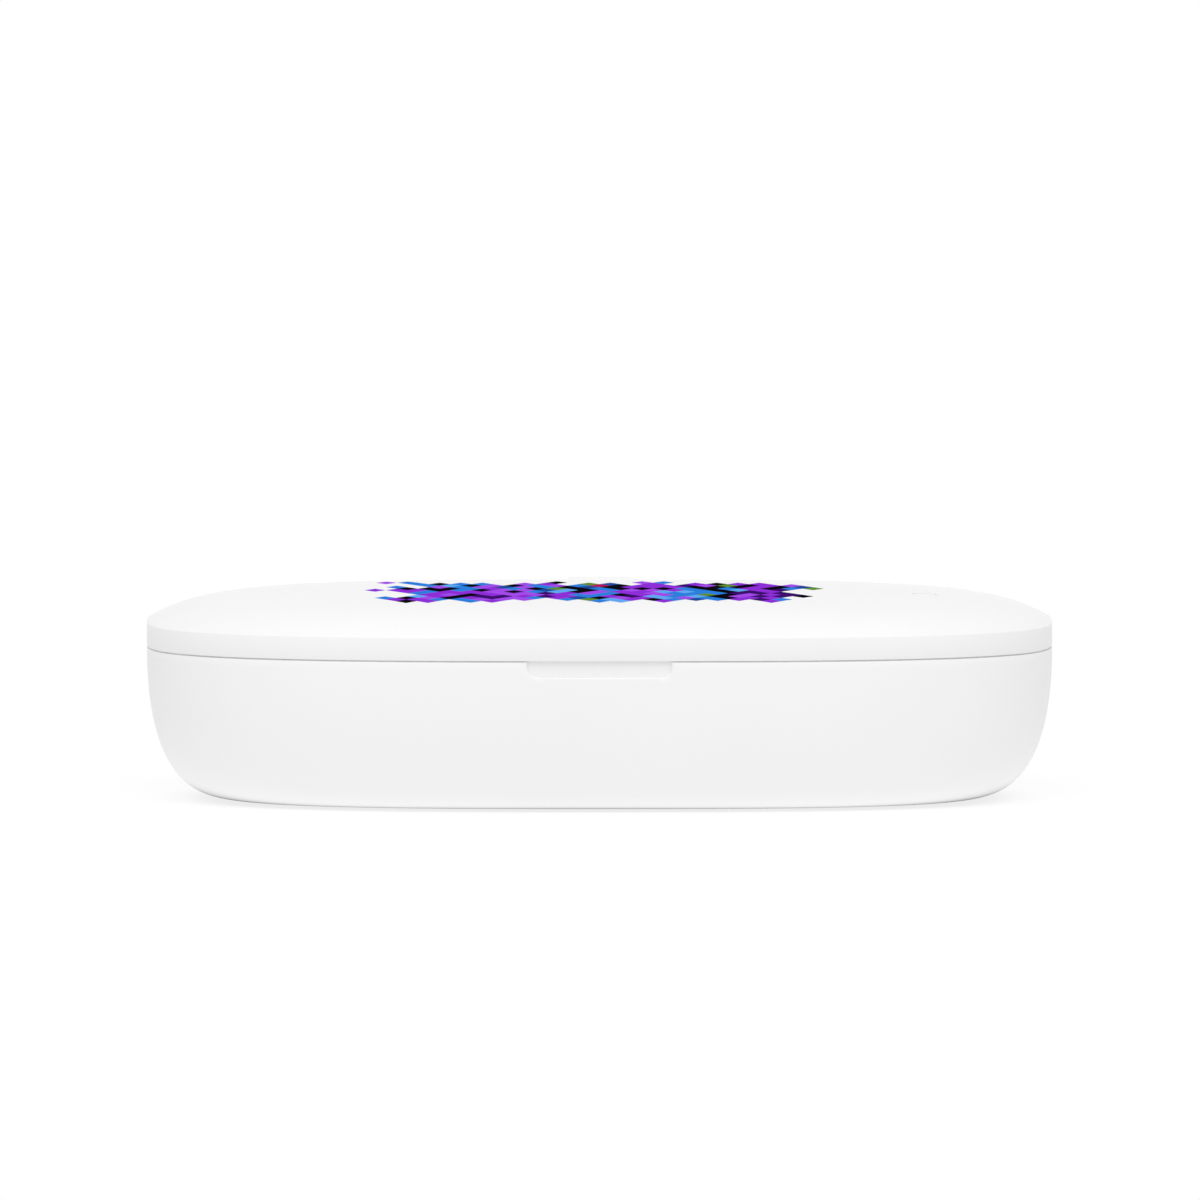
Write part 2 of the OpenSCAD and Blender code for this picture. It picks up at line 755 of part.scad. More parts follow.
module inlet_outline(grow) {
    radius = inlet_h / 2 + grow;
    straight = inlet_w - inlet_h;
    square([straight, 2 * radius], center = true);
    for (side = [-1, 1]) translate([side * straight / 2, 0]) circle(radius);
}

// Anything drawn in X and Z at the inlet, extruded forwards from a depth in Y
module at_inlet(rear, length) {
    translate([inlet_x, rear, inlet_z]) rotate([90, 0, 0]) linear_extrude(length) children();
}

// Pad inside the back wall, which backs the flat round the inlet. Its rear leans out into the wall
module inlet_pad() {
    side = inlet_w / 2 + inlet_flat + inlet_pad_edge;
    front = inlet_mouth - inlet_pad_t;
    rear = inlet_mouth + sink;
    low = main_board_top - inlet_flat / 2;
    high = inlet_z + inlet_h / 2 + inlet_flat + inlet_pad_edge;
    across_x(inlet_x - side, inlet_x + side)
        polygon([[front, low], [rear, low], [rear, inlet_z], [rear + shell_wall / 2, high], [front, high]]);
}

module base_shell() {
    outside = [for (i = [0:tuck_rings]) base_ring(1 - pow(i / tuck_rings, tuck_crowding), 0, foot_h)];
    rib_foot = ledge_z - ledge_rib_h - ledge_w;
    rib_share = (rim_z - rib_foot) / (rim_z - floor_z);
    inside = reversed([
        for (i = [0:tuck_rings])
            base_ring(1 - (1 - rib_share) * pow(i / tuck_rings, tuck_crowding), shell_wall, floor_z)
    ]);
    wall_x = half_w - shell_wall;
    wall_y = half_d - shell_wall;
    seat = [
        [wall_x, wall_y, rim_z, outline_power],
        [wall_x, wall_y, ledge_z, outline_power],
        [ledge_half[0], ledge_half[1], ledge_z, outline_power],
        [ledge_half[0], ledge_half[1], ledge_z - ledge_rib_h, outline_power]
    ];
    place() color(white_plastic) difference() {
        union() {
            ring_stack(concat(outside, seat, inside));
            hinge_post();
            at_places(foot_places, foot_h + foot_recess)
                cylinder(h = boss_top - foot_h - foot_recess, r = base_post_r);
            at_places(main_board_screws(), floor_z - spill) cylinder(h = standoff_h + spill, r = standoff_r);
            inlet_pad();
        }
        recess_cutter();
        lead_channel();
        on_axis(-post_w, post_w, pin_r - pin_press);
        at_places(foot_places, foot_h - spill) cylinder(h = foot_recess + spill, r = foot_r + foot_gap);
        at_places(foot_places, foot_h) cylinder(h = foot_recess + case_head_h, r = case_head_r + through_gap);
        at_places(foot_places, foot_h) cylinder(h = boss_top, r = case_screw_r + through_gap);
        at_places(main_board_screws(), floor_z - spill)
            cylinder(h = standoff_h + 2 * spill, r = board_screw_r + thread_gap);
        at_inlet(half_d, half_d - inlet_mouth + inlet_l) inlet_outline(inlet_gap);
        at_inlet(half_d, half_d - inlet_mouth) inlet_outline(inlet_flat);
    }
}

function main_board_screws() = [
    for (sx = [0, 1], sy = [0, 1])
        [
            main_board_right - board_screw_inset - sx * (main_board_w - 2 * board_screw_inset),
            main_board_rear - board_screw_inset - sy * (main_board_d - 2 * board_screw_inset)
        ]
];

module base_liner() {
    flange_x = half_w - shell_wall - panel_gap;
    flange_y = half_d - shell_wall - panel_gap;
    tub = [
        chamber_ring(tub_z, liner_t - chamber_fillet),
        chamber_ring(tub_z + chamber_fillet, liner_t),
        chamber_ring(ledge_z, liner_t)
    ];
    flange = [[flange_x, flange_y, ledge_z, outline_power], [flange_x, flange_y, flange_top, outline_power]];
    notch = channel_r + lead_notch_gap;
    place() color(liner_plastic) difference() {
        union() {
            ring_stack(concat(tub, flange, reversed(tub_rings(flange_top, 0))));
            at_places(foot_places, boss_top) cylinder(h = tub_z - boss_top + spill, r = base_post_r);
            lamp_ribs(base_lamp_board_top, tub_z + spill);
            at_places(magnet_places, flange_top - magnet_skin - magnet_h)
                cylinder(h = magnet_h, r = magnet_ring_r);
        }
        at_places(foot_places, case_head_z)
            cylinder(h = case_screw_l + hole_spare, r = case_screw_r + thread_gap);
        at_places([for (x = lamp_xs) [x, 0]], tub_z - spill) {
            cylinder(h = window_t + spill, r = window_r + window_gap);
            cylinder(h = liner_t + 2 * spill, r = window_r - window_ledge);
        }
        at_places(magnet_places, flange_top - magnet_skin - magnet_h - spill)
            cylinder(h = magnet_h + spill, r = magnet_r + magnet_gap);
        block([-notch, half_d - shell_wall - notch, tub_z], [notch, half_d, flange_top + spill]);
        seal_body(flange_top - seal_groove, flange_top + spill, seal_slack);
        at_places([for (x = lamp_screw_xs) [x, 0]], base_lamp_board_top - spill)
            cylinder(h = rib_h + spill + board_hole_extra, r = board_screw_r + thread_gap);
    }
}

// Ribs that carry a lamp board, with a boss for each of its screws
module lamp_ribs(low, high) {
    for (side = [-1, 1])
        translate([-lamp_board_half, side * (lamp_board_w / 2 - rib_w) - rib_w / 2, low])
            cube([2 * lamp_board_half, rib_w, high - low]);
    at_places([for (x = lamp_screw_xs) [x, 0]], low) cylinder(h = high - low, r = standoff_r);
}

// The seal's ring between two heights
module seal_body(low, high, grow) {
    mid = [mouth_x + seal_offset, mouth_y + seal_offset];
    half = seal_w / 2 + grow;
    ring_stack(
        [
            [mid[0] + half, mid[1] + half, low, seal_power],
            [mid[0] + half, mid[1] + half, high, seal_power],
            [mid[0] - half, mid[1] - half, high, seal_power],
            [mid[0] - half, mid[1] - half, low, seal_power]
        ],
        loop = true
    );
}

module rim_gasket() {
    place() color(rubber_grey) seal_body(flange_top - seal_groove, panel_z - seal_gap, 0);
}

module base_reflector() {
    top = flange_top - reflector_sink;
    place() color(mirror_metal) difference() {
        ring_stack(concat(tub_rings(top, glue_line), reversed(tub_rings(top, glue_line + reflector_t))));
        at_places([for (x = lamp_xs) [x, 0]], chamber_z - spill)
            cylinder(h = reflector_t + 2 * spill, r = window_r - window_ledge);
    }
}

module phone_rest() {
    x = mouth_x - chamber_draft - chamber_fillet - rest_gap;
    y = mouth_y - chamber_draft - chamber_fillet - rest_gap;
    top = rest_z + rest_bar_h;
    place() color(clear_plastic) union() {
        difference() {
            block([-x, -y, rest_z], [x, y, top]);
            block(
                [rest_bar_w - x, rest_bar_w - y, rest_z - spill],
                [x - rest_bar_w, y - rest_bar_w, top + spill]
            );
        }
        for (lamp_x = lamp_xs, side = [-1, 1]) {
            rib_x = lamp_x + side * lamp_pitch / 4;
            block([rib_x - rest_rib_w / 2, -y, rest_z], [rib_x + rest_rib_w / 2, y, top + rest_rib_h]);
        }
    }
}

module base_windows() {
    place() color(clear_plastic) at_places([for (x = lamp_xs) [x, 0]], tub_z)
        cylinder(h = window_t, r = window_r);
}

module lamp_board(low) {
    difference() {
        block(
            [-lamp_board_half, -lamp_board_w / 2, low],
            [lamp_board_half, lamp_board_w / 2, low + lamp_board_t]
        );
        at_places([for (x = lamp_screw_xs) [x, 0]], low - spill)
            cylinder(h = lamp_board_t + 2 * spill, r = board_screw_r + through_gap);
    }
}

module base_led_board() {
    place() color(board_green) lamp_board(base_lamp_board_top - lamp_board_t);
}

// One lamp package: a ceramic block with a shallow round cup on the side that shines
module lamp_package() {
    difference() {
        translate([-lamp_side / 2, -lamp_side / 2, 0]) cube([lamp_side, lamp_side, lamp_h]);
        translate([0, 0, lamp_h - lamp_cup_depth]) cylinder(h = lamp_h, r = lamp_cup_r);
    }
}

module base_uv_leds() {
    place() color(lamp_ceramic) at_places([for (x = lamp_xs) [x, 0]], base_lamp_board_top) lamp_package();
}

module main_board() {
    place() color(board_green) difference() {
        block(
            [main_board_right - main_board_w, main_board_rear - main_board_d, main_board_z],
            [main_board_right, main_board_rear, main_board_top]
        );
        at_places(main_board_screws(), main_board_z - spill)
            cylinder(h = board_t + 2 * spill, r = board_screw_r + through_gap);
    }
}

// Inductor, capacitors, timer chip and the lead's connector, standing on the main board
module board_parts() {
    row_y = main_board_rear - part_row;
    plug_y = main_board_rear - plug_edge;
    place() color(dark_part) {
        translate([inductor_x, row_y, main_board_top]) cylinder(h = can_h, r = inductor_r);
        for (x = [can_x, can_x + can_pitch]) translate([x, row_y, main_board_top])
            cylinder(h = can_h, r = can_r);
        translate([timer_x, row_y, main_board_top]) cube([timer_side, timer_side, chip_h]);
        translate([charger_x, row_y, main_board_top]) cube([charger_w, charger_d, chip_h]);
        block(
            [-main_plug_w / 2, plug_y - main_plug_d, main_board_top],
            [main_plug_w / 2, plug_y, main_board_top + main_plug_h]
        );
    }
}

module usb_socket() {
    place() color(steel) difference() {
        at_inlet(inlet_mouth, inlet_l) inlet_outline(0);
        at_inlet(inlet_mouth + spill, inlet_l + spill - inlet_sheet) inlet_outline(-inlet_sheet);
    }
}

module usb_tongue() {
    place() color(dark_part) at_inlet(inlet_mouth - tongue_back, inlet_l - inlet_sheet - tongue_back)
        square([tongue_w, tongue_t], center = true);
}

module base_magnets() {
    place() color(steel) at_places(magnet_places, flange_top - magnet_skin - magnet_h)
        cylinder(h = magnet_h, r = magnet_r);
}

module base_screws() {
    place() color(steel) at_places(foot_places, case_head_z) mirror([0, 0, 1])
        pan_screw(case_head_r, case_head_h, case_screw_r, case_screw_l);
}

module board_screws() {
    place() color(steel) {
        at_places(main_board_screws(), main_board_top)
            pan_screw(board_head_r, board_head_h, board_screw_r, board_t + standoff_h);
        at_places([for (x = lamp_screw_xs) [x, 0]], base_lamp_board_top - lamp_board_t) mirror([0, 0, 1])
            pan_screw(board_head_r, board_head_h, board_screw_r, lamp_board_t + rib_h);
    }
}

module feet() {
    place() color(rubber_grey) at_places(foot_places, 0) cylinder(h = foot_h + foot_recess, r = foot_r);
}

module hinge_tube() {
    place() color(steel) difference() {
        on_axis(-pin_end, pin_end, pin_r);
        on_axis(-pin_end - spill, pin_end + spill, pin_bore_r);
        lead_channel();
    }
}

module hinge_lead_base() {
    board_y = main_board_rear - plug_edge;
    route = [
        [0, board_y, main_board_top + 2],
        [0, board_y + 1.5, main_board_top + 2],
        [0, board_y + 3, main_board_top + 3.5],
        [0, board_y + 3.6, main_board_top + 7],
        [0, board_y + 3.8, main_board_top + 13],
        [0, axis_y - 7.2, axis_z - 17],
        channel_start,
        [0, axis_y - 2.6, axis_z - 6.5],
        [0, axis_y - 0.7, axis_z - 1.75],
        [0.4, axis_y - 0.25, axis_z - 0.6],
        [1.3, axis_y, axis_z],
        [3, axis_y, axis_z],
        [pin_end - 1, axis_y, axis_z],
        [pin_end, axis_y, axis_z]
    ];
    place() color(lead_sleeve) lead(route, [0, 1, -0.4]);
}

// ---------------------------------------------------------------- lid

// Bullet-shaped knuckle on the hinge's axis, from its flat end to its rounded tip
module lid_knuckle() {
    round_l = knuckle_l - knuckle_straight;
    outline = concat(
        [[0, 0], [knuckle_r, 0]],
        [
            for (i = [0:knuckle_steps])
                let (a = 90 * i / knuckle_steps)
                [knuckle_end_r * cos(a), knuckle_straight + round_l * sin(a)]
        ]
    );
    translate([knuckle_x, axis_y, axis_z]) rotate([0, 90, 0]) rotate_extrude() polygon(outline);
}

module saddle() {
    rear = half_d - shell_wall / 2;
    slack = shell_wall / 2;
    across_x(-saddle_w / 2, saddle_w / 2) polygon([
        [saddle_y, panel_z],
        [rear, panel_z],
        [rear, crown_height(0, rear, 0) - slack],
        [(saddle_y + rear) / 2, crown_height(0, (saddle_y + rear) / 2, 0) - slack],
        [saddle_y, crown_height(0, saddle_y, 0) - slack]
    ]);
}

module pocket_cutter() {
    across_x(-knuckle_x, knuckle_x) union() {
        translate([axis_y, axis_z]) circle(pocket_r);
        translate([axis_y - pocket_r, lid_z - spill]) square([2 * pocket_r + spill, axis_z - lid_z + spill]);
    }
}

module lid_posts() {
    intersection() {
        ring_stack(concat(
            [[half_w - shell_wall / 2, half_d - shell_wall / 2, panel_top, outline_power]],
            crown_rings_up(shell_wall / 2)
        ));
        union() {
            at_places(lid_screw_places, panel_top) cylinder(h = crown_z - panel_top, r = lid_post_r);
            translate([key_x, key_y, key_flange_top + key_flange_gap])
                cylinder(h = crown_z - key_flange_top, r = key_flange_r);
        }
    }
}

module lid_shell() {
    wall_x = half_w - lid_rim_wall;
    wall_y = half_d - lid_rim_wall;
    seat = [
        [half_w - shell_wall, half_d - shell_wall, panel_top, outline_power],
        [wall_x, wall_y, panel_top, outline_power],
        [wall_x, wall_y, lid_z, outline_power],
        [half_w, half_d, lid_z, outline_power]
    ];
    place() color(white_plastic) difference() {
        union() {
            ring_stack(concat(reversed(crown_rings_up(shell_wall)), seat, crown_rings_up(0)));
            lid_knuckle();
            mirror([1, 0, 0]) lid_knuckle();
            saddle();
            lid_posts();
        }
        pocket_cutter();
        on_axis(-pin_end - pin_end_gap, lead_turn_x + channel_r, pin_r + pin_clearance);
        translate([lead_turn_x, axis_y - lead_channel_l, axis_z]) rotate([-90, 0, 0])
            cylinder(h = lead_channel_l, r = channel_r);
        translate([key_x, key_y, panel_top]) cylinder(h = crown_z - panel_top, r = key_r + key_gap);
        translate([key_x, key_y, panel_top])
            cylinder(h = key_flange_top + key_flange_gap - panel_top, r = key_flange_r + key_gap);
        at_places(lid_screw_places, panel_z)
            cylinder(h = lid_screw_l + hole_spare, r = case_screw_r + thread_gap);
    }
}

module lid_liner() {
    edge_x = half_w - lid_rim_wall - panel_gap;
    edge_y = half_d - lid_rim_wall - panel_gap;
    lip_z = panel_z - lip_h;
    lip_out = chamber_ring(lip_z, -lip_gap);
    lip_in = [lip_out[0] - lip_wall, lip_out[1] - lip_wall];
    standoff_z = control_top() - board_t;
    knuckle_bite = sqrt(pow(knuckle_r, 2) - pow(axis_z - panel_top, 2)) + panel_gap;
    knuckle_end = knuckle_x + knuckle_l + panel_gap;
    body = [
        [lip_in[0], lip_in[1], panel_z, chamber_power],
        [lip_in[0], lip_in[1], lip_z, chamber_power],
        lip_out,
        [lip_out[0], lip_out[1], panel_z, chamber_power],
        [edge_x, edge_y, panel_z, outline_power],
        [edge_x, edge_y, panel_top, outline_power]
    ];
    place() color(liner_plastic) difference() {
        union() {
            ring_stack(body);
            lamp_ribs(panel_top - spill, lid_lamp_board_z);
            at_places(control_screws(), panel_top - spill)
                cylinder(h = standoff_z - panel_top + spill, r = standoff_r);
        }
        block(
            [-saddle_w / 2 - panel_gap, saddle_y - panel_gap, panel_z - spill],
            [saddle_w / 2 + panel_gap, half_d, panel_top + spill]
        );
        block(
            [-knuckle_end, axis_y - knuckle_bite, panel_z - spill],
            [knuckle_end, half_d, panel_top + spill]
        );
        at_places([for (x = lamp_xs) [x, 0]], panel_top - window_t) {
            cylinder(h = window_t + spill, r = window_r + window_gap);
            translate([0, 0, -liner_t - spill])
                cylinder(h = liner_t + 2 * spill, r = window_r - window_ledge);
        }
        at_places(magnet_places, panel_z + magnet_skin) cylinder(h = panel_t, r = magnet_r + magnet_gap);
        at_places(lid_screw_places, panel_z - spill)
            cylinder(h = panel_t + 2 * spill, r = case_screw_r + through_gap);
        at_places(lid_screw_places, panel_z - spill)
            cylinder(h = lid_head_seat + spill, r = case_head_r + through_gap);
        at_places([for (x = lamp_screw_xs) [x, 0]], panel_top - board_hole_extra)
            cylinder(h = rib_h + spill + board_hole_extra, r = board_screw_r + thread_gap);
        at_places(control_screws(), panel_top - board_hole_extra)
            cylinder(
                h = control_standoff_h + spill + board_hole_extra,
                r = board_screw_r + thread_gap
            );
    }
}

function control_low() = [key_x + control_edge - control_board_w, key_y - control_board_d / 2];

function control_screws() = [
    for (s = [0, 1])
        [
            control_low()[0] + board_screw_inset + s * (control_board_w - 2 * board_screw_inset),
            control_low()[1] + board_screw_inset + s * (control_board_d - 2 * board_screw_inset)
        ]
];

module lid_reflector() {
    edge = chamber_ring(panel_z - lip_h, -lip_gap - lip_wall - lid_reflector_gap);
    low = panel_z - glue_line - reflector_t;
    place() color(mirror_metal) difference() {
        ring_stack([
            [edge[0], edge[1], low, chamber_power],
            [edge[0], edge[1], panel_z - glue_line, chamber_power]
        ]);
        at_places([for (x = lamp_xs) [x, 0]], low - spill)
            cylinder(h = reflector_t + 2 * spill, r = window_r - window_ledge);
    }
}

module lid_windows() {
    place() color(clear_plastic) at_places([for (x = lamp_xs) [x, 0]], panel_top - window_t)
        cylinder(h = window_t, r = window_r);
}

module lid_led_board() {
    place() color(board_green) lamp_board(lid_lamp_board_z);
}

module lid_uv_leds() {
    place() color(lamp_ceramic) at_places([for (x = lamp_xs) [x, 0]], lid_lamp_board_z) mirror([0, 0, 1])
        lamp_package();
}

module coil_carrier() {
    place() color(liner_plastic) difference() {
        translate([0, 0, ferrite_z]) cylinder(h = carrier_z - ferrite_z, r = carrier_r + carrier_wall);
        translate([0, 0, ferrite_z - spill])
            cylinder(h = carrier_z - carrier_top - ferrite_z + spill, r = carrier_r);
    }
}

module charging_coil() {
    place() color(copper) difference() {
        translate([0, 0, coil_z]) cylinder(h = coil_t, r = coil_r);
        translate([0, 0, coil_z - spill]) cylinder(h = coil_t + 2 * spill, r = coil_hole_r);
    }
}

module ferrite_sheet() {
    place() color(dark_part) translate([0, 0, ferrite_z]) cylinder(h = ferrite_t, r = coil_r);
}

module control_board() {
    low = control_low();
    place() color(board_green) difference() {
        block(
            [low[0], low[1], control_top() - board_t],
            [low[0] + control_board_w, low[1] + control_board_d, control_top()]
        );
        at_places(control_screws(), control_top() - board_t - spill)
            cylinder(h = board_t + 2 * spill, r = board_screw_r + through_gap);
    }
}

// Lid sensor, driver chip and the lead's connector, on the control board
module control_parts() {
    low = control_low();
    plug_y = control_board_d - control_plug_y - control_plug_d;
    place() color(dark_part) translate([low[0], low[1], control_top()]) {
        translate([driver_x, driver_y, 0]) cube([driver_side, driver_side, small_part_h]);
        translate([sensor_x, sensor_y, 0]) cube([sensor_w, sensor_d, small_part_h]);
        translate([plug_edge, plug_y, 0]) cube([control_plug_w, control_plug_d, control_plug_h]);
    }
}

module tact_switch() {
    half = switch_side / 2;
    place() color(dark_part) translate([key_x, key_y, control_top()]) difference() {
        translate([-half, -half, 0]) cube([switch_side, switch_side, switch_h]);
        translate([0, 0, switch_h - plunger_sunk - key_travel - plunger_end_gap])
            cylinder(h = switch_h, r = plunger_r + plunger_gap);
    }
}

module lid_magnets() {
    place() color(steel) at_places(magnet_places, panel_z + magnet_skin) cylinder(h = magnet_h, r = magnet_r);
}

// Flat-head screws: the head fills its seat in the panel, and the shank holds in the shell's posts
module lid_screws() {
    place() color(steel) at_places(lid_screw_places, panel_z + lid_head_seat) mirror([0, 0, 1])
        pan_screw(case_head_r, lid_head_seat - lid_head_sink, case_screw_r, lid_screw_l - lid_head_seat);
}

module lid_board_screws() {
    place() color(steel) {
        at_places(control_screws(), control_top())
            pan_screw(board_head_r, board_head_h, board_screw_r, board_t + control_standoff_h);
        at_places([for (x = lamp_screw_xs) [x, 0]], lid_lamp_board_z + lamp_board_t)
            pan_screw(board_head_r, board_head_h, board_screw_r, lamp_board_t + rib_h);
    }
}

module hinge_lead_lid() {
    low = control_low();
    plug_y = low[1] + control_board_d - control_plug_y - control_plug_d / 2;
    plug = [low[0] + plug_edge, plug_y, control_top() + control_plug_h / 2];
    route = [
        [pin_end, axis_y, axis_z],
        [pin_end + 0.5, axis_y, axis_z],
        [lead_turn_x, axis_y - 0.5, axis_z],
        [lead_turn_x + 0.1, axis_y - 1.4, axis_z],
        [lead_turn_x + 0.1, axis_y - 7, axis_z],
        [lead_turn_x + 0.6, axis_y - 10, axis_z - 0.6],
        [lead_turn_x + 4, axis_y - 16, panel_top + 1.8],
        [plug[0] - 22, axis_y - 26, panel_top + 1.6],
        [plug[0] - 10, plug[1] + 8, panel_top + 2],
        [plug[0] - 4, plug[1] + 0.6, plug[2] - 0.6],
        [plug[0] - 1.5, plug[1], plug[2]],
        plug
    ];
    place() color(lead_sleeve) lead(route, [0, 0, 1]);
}

// ---------------------------------------------------------------- power key

module power_button() {
    flange_z = key_flange_top - key_flange_t;
    place() color(white_plastic) translate([key_x, key_y, 0]) {
        translate([0, 0, stem_foot]) cylinder(h = key_flange_top - stem_foot, r = key_stem_r);
        translate([0, 0, flange_z]) cylinder(h = key_flange_t, r = key_flange_r);
        translate([0, 0, flange_z]) cylinder(h = key_top - flange_z, r = key_r);
    }
}

module switch_plunger() {
    foot = control_top() + switch_h - plunger_sunk;
    place() color(steel) translate([key_x, key_y, foot]) cylinder(h = stem_foot - foot, r = plunger_r);
}

base_shell();
base_liner();
base_reflector();
phone_rest();
base_windows();
base_led_board();
base_uv_leds();
main_board();
board_parts();
usb_socket();
usb_tongue();
base_magnets();
base_screws();
board_screws();
feet();
rim_gasket();
hinge_tube();
hinge_lead_base();
lid_shell();
lid_liner();
lid_reflector();
lid_windows();
lid_led_board();
lid_uv_leds();
coil_carrier();
charging_coil();
ferrite_sheet();
control_board();
control_parts();
tact_switch();
lid_magnets();
lid_screws();
lid_board_screws();
hinge_lead_lid();
power_button();
switch_plunger();
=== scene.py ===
import math

import bpy
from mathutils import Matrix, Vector


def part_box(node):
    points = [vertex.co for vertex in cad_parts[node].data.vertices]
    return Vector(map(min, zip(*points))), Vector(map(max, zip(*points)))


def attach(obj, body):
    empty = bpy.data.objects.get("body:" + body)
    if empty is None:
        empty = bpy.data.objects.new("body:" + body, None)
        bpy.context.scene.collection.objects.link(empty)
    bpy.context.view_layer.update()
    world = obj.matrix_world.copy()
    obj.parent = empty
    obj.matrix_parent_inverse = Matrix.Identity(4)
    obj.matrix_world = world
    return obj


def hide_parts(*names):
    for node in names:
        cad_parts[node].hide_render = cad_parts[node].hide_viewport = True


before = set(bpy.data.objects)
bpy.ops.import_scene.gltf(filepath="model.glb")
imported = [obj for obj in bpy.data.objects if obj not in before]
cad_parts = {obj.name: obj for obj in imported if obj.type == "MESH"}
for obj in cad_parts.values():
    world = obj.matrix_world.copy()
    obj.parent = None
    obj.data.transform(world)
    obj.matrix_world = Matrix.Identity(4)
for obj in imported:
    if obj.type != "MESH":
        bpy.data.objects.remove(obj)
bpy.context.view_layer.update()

MM = 0.001

# ---------------------------------------------------------------- Studio
# A very long lens stands 8 m in front of the box and a little above it. The ground, the sky and what
# gloss and glass show of them are white, and one wide soft lamp stands high in front.

photo_px = 1200
px_per_mm = 4.113
lens_rise = math.radians(4.05)
lens_reach = 8
aim = Vector((0.12, -3.5, 47.95)) * MM

lens = bpy.data.cameras.new("packshot_lens")
lens.sensor_width = 36
lens.lens = lens.sensor_width * lens_reach / (photo_px / px_per_mm * MM)
lens.clip_start = 1
lens.clip_end = 60
camera = bpy.data.objects.new("packshot_camera", lens)
camera.location = aim + lens_reach * Vector((0, -math.cos(lens_rise), math.sin(lens_rise)))
camera.rotation_euler = (math.pi / 2 - lens_rise, 0, 0)
bpy.context.collection.objects.link(camera)
bpy.context.scene.camera = camera
bpy.context.scene.view_settings.view_transform = "Standard"


def add(tree, kind, inputs=None, **settings):
    """Adds a node. inputs gives, for each of its sockets, a value or the output that feeds it."""
    made = tree.nodes.new(kind)
    for setting, value in settings.items():
        setattr(made, setting, value)
    for socket, value in (inputs or {}).items():
        if isinstance(value, bpy.types.NodeSocket):
            tree.links.new(value, made.inputs[socket])
        else:
            made.inputs[socket].default_value = value
    return made


sky_level = 0.644
sky = bpy.data.worlds.new("white_studio")
bpy.context.scene.world = sky
sky.use_nodes = True
tree = sky.node_tree
tree.nodes.clear()
ray = add(tree, "ShaderNodeLightPath").outputs
direct = add(tree, "ShaderNodeMath", {0: ray["Is Camera Ray"], 1: ray["Is Glossy Ray"]}, operation="MAXIMUM")
through = {0: direct.outputs[0], 1: ray["Is Transmission Ray"]}
shown = add(tree, "ShaderNodeMath", through, operation="MAXIMUM").outputs[0]
ambient = add(tree, "ShaderNodeBackground", {"Color": (1, 1, 1, 1), "Strength": sky_level}).outputs[0]
white = add(tree, "ShaderNodeBackground", {"Color": (1, 1, 1, 1), "Strength": 1}).outputs[0]
mixed = add(tree, "ShaderNodeMixShader", {0: shown, 1: ambient, 2: white}).outputs[0]
add(tree, "ShaderNodeOutputWorld", {"Surface": mixed})

lamp_level = 0.413
lamp_rise = math.radians(57)
soft_lamp = bpy.data.lights.new("soft_lamp", "SUN")
soft_lamp.energy = lamp_level * math.pi
soft_lamp.angle = math.radians(60)
lamp = bpy.data.objects.new("soft_lamp", soft_lamp)
lamp.rotation_euler = (math.pi / 2 - lamp_rise, 0, 0)
bpy.context.collection.objects.link(lamp)

# The ground is a white light table, brightest round the box and dark where its underside covers it. The
# camera sees a fifth of the box's soft shadow on it. Far from the box it is plain white.
bpy.ops.object.select_all(action="DESELECT")
bpy.ops.mesh.primitive_circle_add(vertices=96, radius=5, fill_type="NGON")
ground = bpy.context.object
ground.name = "ground"
table = bpy.data.materials.new("white_light_table")
table.use_nodes = True
ground.data.materials.append(table)
tree = table.node_tree
tree.nodes.clear()

# What the camera sees: the lit ground, lifted to white where no shadow falls, and plain white far out
shadow_share, open_level, plain_start, plain_end, paint = 0.2, 0.87, 0.3, 0.6, (0.9, 0.9, 0.9, 1)
spot = add(tree, "ShaderNodeTexCoord").outputs["Object"]
away = add(tree, "ShaderNodeVectorMath", {0: spot}, operation="LENGTH").outputs["Value"]
far = add(tree, "ShaderNodeMapRange", {"Value": away, "From Min": plain_start, "From Max": plain_end})
lit = add(tree, "ShaderNodeBsdfDiffuse", {"Color": paint}).outputs[0]
lift = {"Color": (1, 1, 1, 1), "Strength": 1 - open_level * shadow_share}
lifted = add(tree, "ShaderNodeEmission", lift).outputs[0]
dark = add(tree, "ShaderNodeBsdfTransparent", {"Color": (0, 0, 0, 1)}).outputs[0]
shadowed = add(tree, "ShaderNodeMixShader", {0: shadow_share, 1: dark, 2: lit}).outputs[0]
near = add(tree, "ShaderNodeAddShader", {0: shadowed, 1: lifted}).outputs[0]
plain = add(tree, "ShaderNodeEmission", {"Color": (1, 1, 1, 1), "Strength": 1}).outputs[0]
seen = add(tree, "ShaderNodeMixShader", {0: far.outputs[0], 1: near, 2: plain}).outputs[0]

# What the box gets: a glow that starts at the edge of the oval which its underside covers, and fades
# outwards. The oval's edge is at 1.
near_light, far_light, edge_start, edge_end, glow_end = 1.06, 0.9, 0.9, 1.1, 5
covered_half, covered_middle = Vector((101, 50.1, 1000)) * MM, Vector((0, -3.5, 0)) * MM
squareness = Vector((2.6, 2.6, 1))
offset = add(tree, "ShaderNodeVectorMath", {0: spot, 1: covered_middle}, operation="SUBTRACT").outputs[0]
scaled = add(tree, "ShaderNodeVectorMath", {0: offset, 1: covered_half}, operation="DIVIDE").outputs[0]
unsigned = add(tree, "ShaderNodeVectorMath", {0: scaled}, operation="ABSOLUTE").outputs[0]
raised = add(tree, "ShaderNodeVectorMath", {0: unsigned, 1: squareness}, operation="POWER").outputs[0]
summed = add(tree, "ShaderNodeVectorMath", {0: raised, 1: (1, 1, 0)}, operation="DOT_PRODUCT")
oval = summed.outputs["Value"]
clear = add(tree, "ShaderNodeMapRange", {"Value": oval, "From Min": edge_start, "From Max": edge_end})
